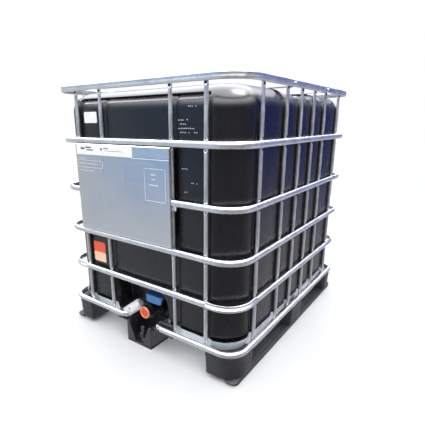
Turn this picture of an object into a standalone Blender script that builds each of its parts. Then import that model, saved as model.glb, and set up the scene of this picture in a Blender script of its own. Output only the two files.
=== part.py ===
"""Intermediate bulk container: a black blow-moulded bottle in a galvanised tube cage on a steel tray
pallet, with a screw fill cap on top and a butterfly outlet valve at the front.

Metres, +Z up. The origin is on the floor under the middle of the pallet. The valve faces -Y, the long
sides face +X and -X. Each sub-part is one object, named after the piece it is.
"""

import math

import bpy
from mathutils import Matrix, Vector

# ---------------------------------------------------------------- driving dimensions (metres)
LENGTH = 1.200
WIDTH = 1.000
HEIGHT = 1.150
GAP = 0.0003

# Cage: horizontal tubes lie outside the uprights, which are dented where they cross.
RIM_HEIGHT = 0.028
RIM_DEPTH = 0.016
RIM_INSET = 0.0025
HOOP_HEIGHT = 0.025
HOOP_DEPTH = 0.017
HOOP_INSET = 0.002
HOOP_LEVELS = (0.918, 0.699, 0.503, 0.320)
BASE_RING_HEIGHT = 0.024
BASE_RING_DEPTH = 0.020
BASE_RING_LEVEL = 0.1325
BASE_RING_GAP = 0.180
BASE_RING_CORNER = 0.080
CAGE_CORNER = 0.105
UPRIGHT_SIZE = 0.016
UPRIGHT_INSET = 0.022
UPRIGHT_TOP_CLEARANCE = 0.009
DENT_REACH = 0.030
DENT_FLAT = 0.015
FRONT_UPRIGHTS = (-0.345, -0.190, 0.190, 0.345)
SIDE_UPRIGHTS = (-0.431, -0.224, -0.075, 0.075, 0.224, 0.431)

# Two flat bars over the bottle, riveted to the rim.
CROSSBAR_Y = 0.198
CROSSBAR_WIDTH = 0.026
CROSSBAR_THICKNESS = 0.004
CROSSBAR_LEVEL = 1.1205
RIVET_RADIUS = 0.003
RIVET_HEAD_RADIUS = 0.006
RIVET_HEAD_HEIGHT = 0.0022

# Tray pallet.
TRAY_FLOOR = 0.1085
TRAY_SHEET = 0.002
TRAY_TOP = 0.160
TRAY_FLOOR_INSET = 0.048
TRAY_TOP_INSET = 0.032
TRAY_CORNER = 0.140
TRAY_NOTCH_HALF = 0.175
TRAY_NOTCH_BACK = 0.455
FOOT_LENGTH = 0.142
FOOT_WIDTH = 0.150
FOOT_INSET = 0.005
FOOT_CORNER = 0.090
FOOT_EDGE = 0.012
FOOT_WALL = 0.006
FOOT_TAPER = 0.004
LIP_CLEARANCE = 0.008
RUNNER_HEIGHT = 0.018
RUNNER_WIDTH = 0.056
RUNNER_OUTER = 0.486
RUNNER_HALF_LENGTH = 0.585
RUNNER_NOSE = 0.012

# Bottle.
BOTTLE_INSET = 0.032
BOTTLE_CORNER = 0.125
BASE_CORNER = 0.150
BASE_STEP = 0.010
BASE_STEP_LEVEL = 0.166
CORNER_SHRINK = 0.6
BOTTLE_BOTTOM_RADIUS = 0.045
BOTTLE_SHOULDER_RADIUS = 0.085
BOTTLE_TOP = CROSSBAR_LEVEL - GAP
VALLEY_HALF = 0.178
VALLEY_LEVEL = 1.098
BASIN_HALF = 0.150
BASIN_CORNER = 0.060
BASIN_LEVEL = 1.072
BOTTLE_WALL = 0.003
RECESS_LEFT = -0.185
RECESS_RIGHT = 0.135
RECESS_TOP = 0.300
RECESS_ARC = 0.090
RECESS_EDGE = 0.030
RECESS_BACK = 0.470
NECK_RADIUS = 0.078
NECK_TOP = 1.104
NECK_BORE = 0.070
CAP_RADIUS = 0.088
CAP_TOP = 1.118
GASKET_THICKNESS = 0.004
VENT_BORE = 0.0282
VENT_RADIUS = 0.028

# Outlet valve, along -Y from the back of the recess.
OUTLET_LEVEL = 0.164
OUTLET_BORE = 0.0215
SPOUT_RADIUS = 0.034
SPOUT_END = 0.494
NUT_RADIUS = 0.046
NUT_LENGTH = 0.0255
BODY_RADIUS = 0.036
BODY_BACK = 0.4978
BODY_FRONT = 0.5600
THREAD_RADIUS = 0.0252
THREAD_BACK = 0.5430
BODY_CLEARANCE = 0.0003
DISC_RADIUS = 0.0212
DISC_THICKNESS = 0.004
STEM_Y = -0.518
STEM_RADIUS = 0.005
BOSS_RADIUS = 0.013
BOSS_TOP = 0.206
LEVER_BOTTOM = 0.208
LEVER_TOP = 0.246
LEVER_HEEL = 0.016
LEVER_REACH = 0.084
LEVER_HALF_WIDTH = 0.024
LEVER_PLATE = 0.006
LEVER_HUB_RADIUS = 0.012
OUTLET_CAP_RADIUS = 0.0290
OUTLET_CAP_BACK = 0.5445
OUTLET_CAP_FRONT = 0.5690
OUTLET_GASKET = 0.003
OUTLET_GASKET_BORE = 0.016

# Light sleeve-shaped adapter lying beside the valve.
ADAPTER_INNER_END = Vector((-0.0650, -0.5200, 0.1755))
ADAPTER_OUTER_END = Vector((-0.1310, -0.5530, 0.1210))
ADAPTER_RADIUS = 0.0250
ADAPTER_BORE = 0.0200
ADAPTER_BACK = 0.008
ADAPTER_HOLE = 0.008

# Guard foot round the valve.
GUARD_LEFT = -0.098
GUARD_RIGHT = 0.050
GUARD_FRONT = 0.586
GUARD_BACK = 0.462
GUARD_WALL = 0.007
GUARD_FLOOR = 0.012
GUARD_SILL = 0.040
WING_HALF = 0.171
WING_FRONT = 0.574
WING_THICKNESS = 0.010
RIGHT_WING_BOTTOM = 0.094
RIGHT_WING_TOP = 0.160
LEFT_WING_BOTTOM = 0.0905
LEFT_WING_TOP = 0.0965
LEFT_WING_BACK = 0.475

# Data plate on the front of the cage.
PLATE_LEFT = -0.350
PLATE_RIGHT = 0.197
PLATE_SHEET = 0.0012
PLATE_FLANGE = 0.010

HALF_LENGTH = LENGTH / 2
HALF_WIDTH = WIDTH / 2
ROUND_SIDES = 32
TUBE_SIDES = 8
ARC_STEPS = 5


# ---------------------------------------------------------------- helpers
def clear_scene():
    for old in list(bpy.data.objects):
        bpy.data.objects.remove(old, do_unlink=True)


def principled(name, color, roughness, metallic=0.0):
    """A new Principled material of one colour."""
    made = bpy.data.materials.new(name)
    made.use_nodes = True
    shader = made.node_tree.nodes["Principled BSDF"]
    shader.inputs["Base Color"].default_value = (*color, 1.0)
    shader.inputs["Roughness"].default_value = roughness
    shader.inputs["Metallic"].default_value = metallic
    return made


def add_object(name, vertices, faces, material, smooth=True):
    """An object at the origin whose mesh holds the given vertices."""
    mesh = bpy.data.meshes.new(name)
    mesh.from_pydata([tuple(v) for v in vertices], [], faces)
    mesh.validate()
    mesh.update()
    if smooth:
        mesh.shade_smooth()
        mesh.set_sharp_from_angle(angle=math.radians(40))
    made = bpy.data.objects.new(name, mesh)
    bpy.context.scene.collection.objects.link(made)
    if material is not None:
        made.data.materials.append(material)
    return made


def add_cutter(name, vertices, faces):
    """A helper solid for Booleans, left out of renders."""
    made = add_object(name, vertices, faces, None, smooth=False)
    made.hide_render = True
    made.display_type = "WIRE"
    return made


def cut(target, operation, other):
    """Adds one Boolean modifier to the target."""
    modifier = target.modifiers.new(f"{operation.lower()}_{other.name}", "BOOLEAN")
    modifier.operation = operation
    modifier.object = other
    modifier.solver = "EXACT"


def loft(rings, closed=False):
    """Vertices and faces of a skin through rings of equal length, capped at both ends unless closed."""
    count = len(rings[0])
    vertices = [point for ring in rings for point in ring]
    faces = []
    last = len(rings) if closed else len(rings) - 1
    for level in range(last):
        low = level * count
        high = ((level + 1) % len(rings)) * count
        for side in range(count):
            after = (side + 1) % count
            faces.append((low + side, low + after, high + after, high + side))
    if not closed:
        faces.append(tuple(range(count - 1, -1, -1)))
        faces.append(tuple(range((len(rings) - 1) * count, len(rings) * count)))
    return vertices, faces


def rounded_outline(half_x, half_y, radius, steps=ARC_STEPS):
    """(x, y, normal x, normal y) along a rounded rectangle, counter-clockwise from the +X side."""
    points = []
    for quarter, (sign_x, sign_y) in enumerate(((1, 1), (-1, 1), (-1, -1), (1, -1))):
        for step in range(steps + 1):
            angle = math.pi / 2 * (quarter + step / steps)
            normal = (math.cos(angle), math.sin(angle))
            x = sign_x * (half_x - radius) + radius * normal[0]
            y = sign_y * (half_y - radius) + radius * normal[1]
            points.append((x, y, *normal))
    return points


def level_ring(half_x, half_y, radius, z, steps=ARC_STEPS):
    return [Vector((x, y, z)) for x, y, _, _ in rounded_outline(half_x, half_y, radius, steps)]


def tube_section(depth, height, sides=TUBE_SIDES):
    """(out, up) corners of an oval tube section, with flats at its four extremes."""
    corner = math.cos(math.pi / sides)
    section = []
    for side in range(sides):
        angle = 2 * math.pi * (side + 0.5) / sides
        section.append((depth / 2 * math.cos(angle) / corner, height / 2 * math.sin(angle) / corner))
    return section


def sweep_outline(outline, section, z, closed):
    """A tube of the given section along a horizontal outline."""
    rings = []
    for x, y, normal_x, normal_y in outline:
        rings.append([Vector((x + normal_x * out, y + normal_y * out, z + up)) for out, up in section])
    vertices, faces = loft(rings, closed)
    return vertices, [tuple(reversed(face)) for face in faces]


def box(low, high):
    """Vertices and faces of a box between two corners."""
    (x0, y0, z0), (x1, y1, z1) = low, high
    base = [Vector((x0, y0, z0)), Vector((x1, y0, z0)), Vector((x1, y1, z0)), Vector((x0, y1, z0))]
    return loft([base, [point + Vector((0, 0, z1 - z0)) for point in base]])


def extruded(outline, near, far):
    """A prism along Y from a counter-clockwise (x, z) outline, as seen from the front."""
    rings = [[Vector((x, y, z)) for x, z in outline] for y in (near, far)]
    vertices, faces = loft(rings)
    return vertices, [tuple(reversed(face)) for face in faces]


def turned(profile, place=None, sides=ROUND_SIDES):
    """A body of revolution about Z from (radius, z) corners listed up its outer side, then moved by place.

    The profile is closed: its last corner joins its first. A corner on the axis is not allowed, so a
    solid with no bore is made with turned_solid instead.
    """
    rings = []
    for side in range(sides):
        angle = 2 * math.pi * side / sides
        rings.append([Vector((r * math.cos(angle), r * math.sin(angle), z)) for r, z in profile])
    vertices, faces = loft(rings, closed=True)
    faces = [tuple(reversed(face)) for face in faces]
    return moved(vertices, place), faces


def turned_solid(profile, place=None, sides=ROUND_SIDES):
    """A solid of revolution about Z from (radius, z) corners listed upwards, with flat ends."""
    rings = []
    for r, z in profile:
        rings.append(
            [
                Vector((r * math.cos(2 * math.pi * s / sides), r * math.sin(2 * math.pi * s / sides), z))
                for s in range(sides)
            ]
        )
    vertices, faces = loft(rings)
    return moved(vertices, place), faces


def moved(vertices, place):
    return vertices if place is None else [place @ point for point in vertices]


def place_along(start, direction):
    """The matrix that sets local +Z along a direction, from a start point."""
    return Matrix.Translation(start) @ direction.to_track_quat("Z", "Y").to_matrix().to_4x4()


def set_origin(piece, point):
    """Moves the object's origin to a point of its joint axis, leaving the shape where it is."""
    piece.data.transform(Matrix.Translation(-point))
    piece.location = point


OUTLET_PLACE = place_along(Vector((0, 0, OUTLET_LEVEL)), Vector((0, -1, 0)))


# ---------------------------------------------------------------- materials
def make_materials():
    return {
        "galvanised": principled("galvanised_tube", (0.72, 0.74, 0.76), 0.38, 0.9),
        "sheet": principled("galvanised_sheet", (0.66, 0.70, 0.74), 0.42, 0.85),
        "plate": principled("data_plate", (0.60, 0.63, 0.65), 0.45, 0.7),
        "zinc": principled("zinc_rivet", (0.80, 0.80, 0.78), 0.3, 1.0),
        "bottle": principled("black_polyethylene", (0.018, 0.018, 0.022), 0.32),
        "cap": principled("black_cap", (0.02, 0.02, 0.02), 0.45),
        "vent": principled("red_vent_plug", (0.45, 0.03, 0.02), 0.45),
        "seal": principled("seal_rubber", (0.05, 0.05, 0.05), 0.7),
        "foot": principled("foot_plastic", (0.05, 0.05, 0.055), 0.6),
        "runner": principled("runner_plastic", (0.03, 0.03, 0.035), 0.6),
        "valve": principled("valve_plastic", (0.012, 0.012, 0.012), 0.35),
        "lever": principled("blue_lever", (0.06, 0.20, 0.50), 0.4),
        "outlet_cap": principled("orange_cap", (0.80, 0.16, 0.04), 0.45),
        "adapter": principled("light_adapter", (0.70, 0.71, 0.70), 0.4, 0.3),
    }


# ---------------------------------------------------------------- cage
def rivet_positions():
    """(side, y) of the four rivets that hold the crossbars to the rim."""
    return [(side, y) for y in (-CROSSBAR_Y, CROSSBAR_Y) for side in (-1, 1)]


def rivet_height():
    return HEIGHT - RIM_HEIGHT / 2


def add_rivet_holes(target, suffix):
    """Cuts the four rivet holes through a rim or a crossbar."""
    for side, y in rivet_positions():
        if suffix == "front" and y > 0 or suffix == "back" and y < 0:
            continue
        start = Vector((side * (HALF_WIDTH - 0.05), y, rivet_height()))
        place = place_along(start, Vector((side, 0, 0)))
        radius = RIVET_RADIUS + GAP
        name = f"hole_{suffix}_{'right' if side > 0 else 'left'}_{'back' if y > 0 else 'front'}"
        cut(target, "DIFFERENCE", add_cutter(name, *turned_solid([(radius, 0), (radius, 0.1)], place, 12)))


def build_rim(material):
    half_x = HALF_WIDTH - RIM_INSET - RIM_DEPTH / 2
    half_y = HALF_LENGTH - RIM_INSET - RIM_DEPTH / 2
    outline = rounded_outline(half_x, half_y, CAGE_CORNER)
    section = tube_section(RIM_DEPTH, RIM_HEIGHT)
    rim = add_object("top_rim", *sweep_outline(outline, section, rivet_height(), True), material)
    add_rivet_holes(rim, "rim")


def build_hoops(material):
    half_x = HALF_WIDTH - HOOP_INSET - HOOP_DEPTH / 2
    half_y = HALF_LENGTH - HOOP_INSET - HOOP_DEPTH / 2
    outline = rounded_outline(half_x, half_y, CAGE_CORNER)
    section = tube_section(HOOP_DEPTH, HOOP_HEIGHT)
    for number, level in enumerate(HOOP_LEVELS, start=1):
        add_object(f"hoop_{number}", *sweep_outline(outline, section, level, True), material)


def build_base_ring(material):
    """The lowest tube: open at the front, where its two ends stand either side of the valve."""
    half_x = HALF_WIDTH - BASE_RING_DEPTH / 2
    half_y = HALF_LENGTH - BASE_RING_DEPTH / 2
    outline = rounded_outline(half_x, half_y, BASE_RING_CORNER)
    front_left_end = (-BASE_RING_GAP / 2, -half_y, 0.0, -1.0)
    front_right_end = (BASE_RING_GAP / 2, -half_y, 0.0, -1.0)
    split = 3 * (ARC_STEPS + 1)
    path = [front_right_end] + outline[split:] + outline[:split] + [front_left_end]
    section = tube_section(BASE_RING_DEPTH, BASE_RING_HEIGHT)
    add_object("base_ring", *sweep_outline(path, section, BASE_RING_LEVEL, False), material)


def upright_levels():
    """(z, largest outward offset) down an upright: dented behind each horizontal tube."""
    hoop_face = UPRIGHT_INSET - HOOP_INSET - HOOP_DEPTH - GAP
    rim_face = UPRIGHT_INSET - RIM_INSET - RIM_DEPTH - GAP
    base_face = UPRIGHT_INSET - BASE_RING_DEPTH - GAP
    full = UPRIGHT_SIZE
    levels = [(HEIGHT - UPRIGHT_TOP_CLEARANCE, rim_face)]
    levels.append((HEIGHT - RIM_HEIGHT - 0.003, rim_face))
    levels.append((HEIGHT - RIM_HEIGHT - 0.020, full))
    for level in HOOP_LEVELS:
        levels.append((level + DENT_REACH, full))
        levels.append((level + DENT_FLAT, hoop_face))
        levels.append((level - DENT_FLAT, hoop_face))
        levels.append((level - DENT_REACH, full))
    base_top = BASE_RING_LEVEL + BASE_RING_HEIGHT / 2
    levels.append((base_top + 0.020, full))
    levels.append((base_top + 0.003, base_face))
    levels.append((BASE_RING_LEVEL - BASE_RING_HEIGHT / 2 + 0.002, base_face))
    return levels


def upright_mesh():
    """One upright, standing at the origin with its outer side towards +X."""
    section = tube_section(UPRIGHT_SIZE, UPRIGHT_SIZE)
    rings = []
    for z, reach in reversed(upright_levels()):
        rings.append([Vector((min(out, reach), side, z)) for out, side in section])
    return loft(rings)


def build_uprights(material):
    vertices, faces = upright_mesh()
    plane_x = HALF_WIDTH - UPRIGHT_INSET
    plane_y = HALF_LENGTH - UPRIGHT_INSET
    places = []
    for number, x in enumerate(FRONT_UPRIGHTS, start=1):
        places.append((f"upright_front_{number}", (x, -plane_y, 0), -90))
        places.append((f"upright_back_{number}", (x, plane_y, 0), 90))
    for number, y in enumerate(SIDE_UPRIGHTS, start=1):
        places.append((f"upright_right_{number}", (plane_x, y, 0), 0))
        places.append((f"upright_left_{number}", (-plane_x, y, 0), 180))
    shared = None
    for name, location, turn in places:
        if shared is None:
            upright = add_object(name, vertices, faces, material)
            shared = upright.data
        else:
            upright = bpy.data.objects.new(name, shared)
            bpy.context.scene.collection.objects.link(upright)
        upright.location = location
        upright.rotation_euler = (0, 0, math.radians(turn))


def build_crossbars(material):
    """Flat bars with upturned ends that lie against the inside of the rim."""
    rim_face = HALF_WIDTH - RIM_INSET - RIM_DEPTH - GAP
    low = CROSSBAR_LEVEL
    high = rivet_height() + 0.010
    thick = CROSSBAR_THICKNESS
    profile = [
        (-rim_face, low), (rim_face, low), (rim_face, high), (rim_face - thick, high),
        (rim_face - thick, low + thick), (-rim_face + thick, low + thick),
        (-rim_face + thick, high), (-rim_face, high),
    ]
    for name, middle in (("front", -CROSSBAR_Y), ("back", CROSSBAR_Y)):
        shape = extruded(profile, middle - CROSSBAR_WIDTH / 2, middle + CROSSBAR_WIDTH / 2)
        bar = add_object(f"crossbar_{name}", *shape, material, smooth=False)
        add_rivet_holes(bar, name)


def build_rivets(material):
    """Each rivet passes through the rim and the end of a crossbar, with a head on both sides."""
    outer = HALF_WIDTH - RIM_INSET + GAP
    inner = HALF_WIDTH - RIM_INSET - RIM_DEPTH - 2 * GAP - CROSSBAR_THICKNESS
    grip = outer - inner
    head = RIVET_HEAD_HEIGHT
    profile = [
        (RIVET_HEAD_RADIUS * 0.7, -head), (RIVET_HEAD_RADIUS, -head * 0.4), (RIVET_HEAD_RADIUS, 0),
        (RIVET_RADIUS, 0), (RIVET_RADIUS, grip), (RIVET_HEAD_RADIUS, grip),
        (RIVET_HEAD_RADIUS, grip + head * 0.4), (RIVET_HEAD_RADIUS * 0.7, grip + head),
    ]
    for side, y in rivet_positions():
        name = f"rivet_{'front' if y < 0 else 'back'}_{'right' if side > 0 else 'left'}"
        place = place_along(Vector((side * inner, y, rivet_height())), Vector((side, 0, 0)))
        add_object(name, *turned_solid(profile, place, 12), material)


def build_data_plate(material):
    """A sheet in front of the second hoop, between the first and third, with side edges folded back."""
    top = HOOP_LEVELS[0] - HOOP_HEIGHT / 2 - 0.001
    bottom = HOOP_LEVELS[2] + HOOP_HEIGHT / 2 + 0.001
    front = -(HALF_LENGTH - GAP)
    back = front + PLATE_SHEET
    fold = back + PLATE_FLANGE
    outline = [
        (PLATE_LEFT, front), (PLATE_RIGHT, front), (PLATE_RIGHT, fold),
        (PLATE_RIGHT - PLATE_SHEET, fold), (PLATE_RIGHT - PLATE_SHEET, back),
        (PLATE_LEFT + PLATE_SHEET, back), (PLATE_LEFT + PLATE_SHEET, fold), (PLATE_LEFT, fold),
    ]
    rings = [[Vector((x, y, z)) for x, y in outline] for z in (bottom, top)]
    plate = add_object("data_plate", *loft(rings), material, smooth=False)
    clearance = 0.001
    level = HOOP_LEVELS[1]
    low = (PLATE_LEFT - 0.01, back + GAP, level - HOOP_HEIGHT / 2 - clearance)
    high = (PLATE_RIGHT + 0.01, fold + 0.01, level + HOOP_HEIGHT / 2 + clearance)
    cut(plate, "DIFFERENCE", add_cutter("plate_fold_notch", *box(low, high)))


# ---------------------------------------------------------------- pallet
def build_tray(material):
    """A pressed pan: a floor with a leaning wall all round, open at the front for the valve."""
    def ring(inset, z):
        return level_ring(HALF_WIDTH - inset, HALF_LENGTH - inset, TRAY_CORNER, z)

    rings = [
        ring(TRAY_FLOOR_INSET, TRAY_FLOOR),
        ring(TRAY_TOP_INSET, TRAY_TOP),
        ring(TRAY_TOP_INSET + TRAY_SHEET, TRAY_TOP),
        ring(TRAY_FLOOR_INSET + TRAY_SHEET, TRAY_FLOOR + TRAY_SHEET),
    ]
    tray = add_object("pallet_tray", *loft(rings), material)
    low = (-TRAY_NOTCH_HALF, -HALF_LENGTH, TRAY_FLOOR - 0.02)
    high = (TRAY_NOTCH_HALF, -TRAY_NOTCH_BACK, TRAY_TOP + 0.02)
    cut(tray, "DIFFERENCE", add_cutter("tray_notch", *box(low, high)))


def foot_ring(low, high, z, shrink, round_corner):
    """A rounded foot outline. round_corner gives the signs of the one large outer corner, or None."""
    rings = []
    middle = Vector(((low[0] + high[0]) / 2, (low[1] + high[1]) / 2))
    half = Vector(((high[0] - low[0]) / 2 - shrink, (high[1] - low[1]) / 2 - shrink))
    for quarter, signs in enumerate(((1, 1), (-1, 1), (-1, -1), (1, -1))):
        radius = (FOOT_CORNER if signs == round_corner else FOOT_EDGE) - shrink * 0.5
        steps = 6 if signs == round_corner else 2
        for step in range(steps + 1):
            angle = math.pi / 2 * (quarter + step / steps)
            x = middle.x + signs[0] * (half.x - radius) + radius * math.cos(angle)
            y = middle.y + signs[1] * (half.y - radius) + radius * math.sin(angle)
            rings.append(Vector((x, y, z)))
    return rings


def build_foot(name, low, high, bottom, round_corner, material, tray_clearance):
    """A hollow plastic block, open upwards under the tray, whose outer lip rises to the base ring."""
    top = BASE_RING_LEVEL - BASE_RING_HEIGHT / 2 - GAP
    rings = [foot_ring(low, high, bottom, FOOT_TAPER, round_corner), foot_ring(low, high, top, 0, round_corner)]
    foot = add_object(name, *loft(rings), material)
    cut(foot, "DIFFERENCE", tray_clearance)
    shrink = FOOT_WALL + FOOT_TAPER
    cavity = [
        foot_ring(low, high, bottom + FOOT_WALL, shrink, round_corner),
        foot_ring(low, high, TRAY_FLOOR + 0.001, FOOT_WALL, round_corner),
    ]
    cut(foot, "DIFFERENCE", add_cutter(f"{name}_cavity", *loft(cavity)))


def build_feet(material):
    clearance = [
        level_ring(HALF_WIDTH - TRAY_FLOOR_INSET + LIP_CLEARANCE, HALF_LENGTH - TRAY_FLOOR_INSET + LIP_CLEARANCE,
                   TRAY_CORNER, z)
        for z in (TRAY_FLOOR - GAP, TRAY_FLOOR + 0.05)
    ]
    tray_clearance = add_cutter("tray_clearance", *loft(clearance))
    outer_x = HALF_WIDTH - FOOT_INSET
    outer_y = HALF_LENGTH - FOOT_INSET - 0.003
    raised = RUNNER_HEIGHT + GAP
    rows = (("front", -outer_y, -outer_y + FOOT_LENGTH, -1),
            ("middle", -FOOT_LENGTH / 2 + 0.012, FOOT_LENGTH / 2 + 0.012, 0),
            ("back", outer_y - FOOT_LENGTH, outer_y, 1))
    for row, y0, y1, end in rows:
        for side, sign in (("left", -1), ("right", 1)):
            x0, x1 = sorted((sign * outer_x, sign * (outer_x - FOOT_WIDTH)))
            corner = (sign, end) if end else None
            build_foot(f"foot_{row}_{side}", (x0, y0), (x1, y1), raised, corner, material, tray_clearance)
    half = FOOT_WIDTH / 2
    build_foot("foot_middle_centre", (-half, rows[1][1]), (half, rows[1][2]), 0, None, material, tray_clearance)
    build_foot("foot_back_centre", (-half, rows[2][1]), (half, rows[2][2]), 0, None, material, tray_clearance)


def build_runners(material):
    """Floor skids under the outer rows of feet, with rounded noses."""
    for side, sign in (("left", -1), ("right", 1)):
        middle = sign * (RUNNER_OUTER - RUNNER_WIDTH / 2)
        rings = []
        for z, nose in ((0, RUNNER_NOSE), (RUNNER_NOSE, 0), (RUNNER_HEIGHT, 0)):
            outline = rounded_outline(RUNNER_WIDTH / 2, RUNNER_HALF_LENGTH - nose, 0.02, 4)
            rings.append([Vector((middle + x, y, z)) for x, y, _, _ in outline])
        add_object(f"runner_{side}", *loft(rings), material)


def build_guard(material):
    """The front centre foot: a trough round the valve, open to the front and the top, with two wings."""
    left, right = GUARD_LEFT, GUARD_RIGHT
    top = TRAY_FLOOR - GAP
    body = [
        [Vector((left, -GUARD_FRONT, z)), Vector((right, -GUARD_FRONT, z)),
         Vector((right, -GUARD_BACK, z)), Vector((left, -GUARD_BACK, z))]
        for z in (0, top)
    ]
    guard = add_object("valve_guard", *loft(body), material, smooth=False)
    root = 0.020
    low, high = RIGHT_WING_BOTTOM, RIGHT_WING_TOP
    upright_wing = [(right - root, low), (WING_HALF, low), (WING_HALF, high), (right + 0.050, high),
                    (right, low + 0.010), (right - root, low + 0.010)]
    cut(guard, "UNION", add_cutter("wing_right", *extruded(upright_wing, -WING_FRONT, WING_THICKNESS - WING_FRONT)))
    low, high = LEFT_WING_BOTTOM, LEFT_WING_TOP
    flat_wing = [(-WING_HALF, low), (left + root, low), (left + root, high), (-WING_HALF, high)]
    cut(guard, "UNION", add_cutter("wing_left", *extruded(flat_wing, -WING_FRONT, -LEFT_WING_BACK)))
    low = (left + GUARD_WALL, -GUARD_FRONT + GUARD_WALL, GUARD_FLOOR)
    high = (right - GUARD_WALL, -GUARD_BACK - GUARD_WALL, 0.2)
    cut(guard, "DIFFERENCE", add_cutter("guard_trough", *box(low, high)))
    # The front wall is cut down to a V so that a hose reaches the outlet.
    sill = GUARD_SILL
    opening = [(left + GUARD_WALL + 0.008, 0.2), (left + 0.045, sill), (right - 0.045, sill),
               (right - GUARD_WALL - 0.008, 0.2)]
    opening_prism = extruded(opening, -GUARD_FRONT - 0.01, -GUARD_FRONT + GUARD_WALL + 0.01)
    cut(guard, "DIFFERENCE", add_cutter("guard_front_opening", *opening_prism))


# ---------------------------------------------------------------- bottle and its closures
def bottle_levels(top, bottom, bottom_radius, shoulder_radius):
    """(z, inset, corner radius) up the bottle: rounded underside, a step above the tray, and a shoulder."""
    levels = []
    for step in range(4):
        angle = math.pi / 2 * step / 3
        inset = bottom_radius * (1 - math.sin(angle))
        z = bottom + bottom_radius * (1 - math.cos(angle))
        levels.append((z, BASE_STEP + inset, BASE_CORNER - inset * CORNER_SHRINK))
    levels.append((BASE_STEP_LEVEL, BASE_STEP, BASE_CORNER))
    levels.append((BASE_STEP_LEVEL + BASE_STEP, 0, BOTTLE_CORNER))
    for step in range(7):
        angle = math.pi / 2 * step / 6
        inset = shoulder_radius * (1 - math.cos(angle))
        levels.append((top - shoulder_radius * (1 - math.sin(angle)), inset, BOTTLE_CORNER - inset * CORNER_SHRINK))
    return levels


def bottle_skin(thickness):
    """The bottle's rounded block, taken in by a thickness on every side."""
    rings = []
    bottom = TRAY_FLOOR + TRAY_SHEET + GAP + thickness
    levels = bottle_levels(BOTTLE_TOP - thickness, bottom, BOTTLE_BOTTOM_RADIUS - thickness,
                           BOTTLE_SHOULDER_RADIUS - thickness)
    for z, inset, corner in levels:
        reach = BOTTLE_INSET + thickness + inset
        rings.append(level_ring(HALF_WIDTH - reach, HALF_LENGTH - reach, corner - thickness, z, 6))
    return loft(rings)


def recess_block(grow, back):
    """The space for the valve: wider to the left, its upper right corner a large arc."""
    left, right, top = RECESS_LEFT - grow, RECESS_RIGHT + grow, RECESS_TOP + grow
    outline = [(left, 0.05), (right, 0.05)]
    for radius, sign, start in ((RECESS_ARC + grow, 1, 0), (RECESS_EDGE + grow, -1, 1)):
        side = right if sign > 0 else left
        steps = 8 if sign > 0 else 3
        for step in range(steps + 1):
            angle = math.pi / 2 * (start + step / steps)
            x = side - sign * radius + radius * math.cos(angle)
            outline.append((x, top - radius + radius * math.sin(angle)))
    return extruded(outline, -HALF_LENGTH, -back)


def sunken_top(grow):
    """The space above the bottle's middle: a valley from side to side and a deeper basin round the neck."""
    valley = VALLEY_HALF + grow
    basin = BASIN_HALF + grow
    level = BASIN_LEVEL - grow
    rings = [level_ring(basin, basin, BASIN_CORNER, z) for z in (level, BOTTLE_TOP + 0.02)]
    return (
        box((-WIDTH, -valley, VALLEY_LEVEL - grow), (WIDTH, valley, BOTTLE_TOP + 0.01)),
        loft(rings),
    )


def build_bottle(material):
    bottle = add_object("bottle", *bottle_skin(0), material)
    cut(bottle, "DIFFERENCE", add_cutter("valve_recess", *recess_block(0, RECESS_BACK)))
    for name, shape in zip(("top_valley", "neck_basin"), sunken_top(0)):
        cut(bottle, "DIFFERENCE", add_cutter(name, *shape))
    neck = [(NECK_RADIUS, BASIN_LEVEL - 0.002), (NECK_RADIUS, NECK_TOP)]
    cut(bottle, "UNION", add_cutter("neck", *turned_solid(neck)))
    spout = [(SPOUT_RADIUS, RECESS_BACK - 0.002), (SPOUT_RADIUS, SPOUT_END)]
    cut(bottle, "UNION", add_cutter("spout", *turned_solid(spout, OUTLET_PLACE)))

    cavity = add_cutter("bottle_cavity", *bottle_skin(BOTTLE_WALL))
    wall = BOTTLE_WALL
    cut(cavity, "DIFFERENCE", add_cutter("recess_backing", *recess_block(wall, RECESS_BACK - wall)))
    for name, shape in zip(("valley_backing", "basin_backing"), sunken_top(wall)):
        cut(cavity, "DIFFERENCE", add_cutter(name, *shape))
    neck_bore = [(NECK_BORE, BASIN_LEVEL - 0.02), (NECK_BORE, NECK_TOP + 0.02)]
    cut(cavity, "UNION", add_cutter("neck_bore", *turned_solid(neck_bore)))
    spout_bore = [(OUTLET_BORE, RECESS_BACK - 0.02), (OUTLET_BORE, SPOUT_END + 0.02)]
    cut(cavity, "UNION", add_cutter("spout_bore", *turned_solid(spout_bore, OUTLET_PLACE)))
    cut(bottle, "DIFFERENCE", cavity)


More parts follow.
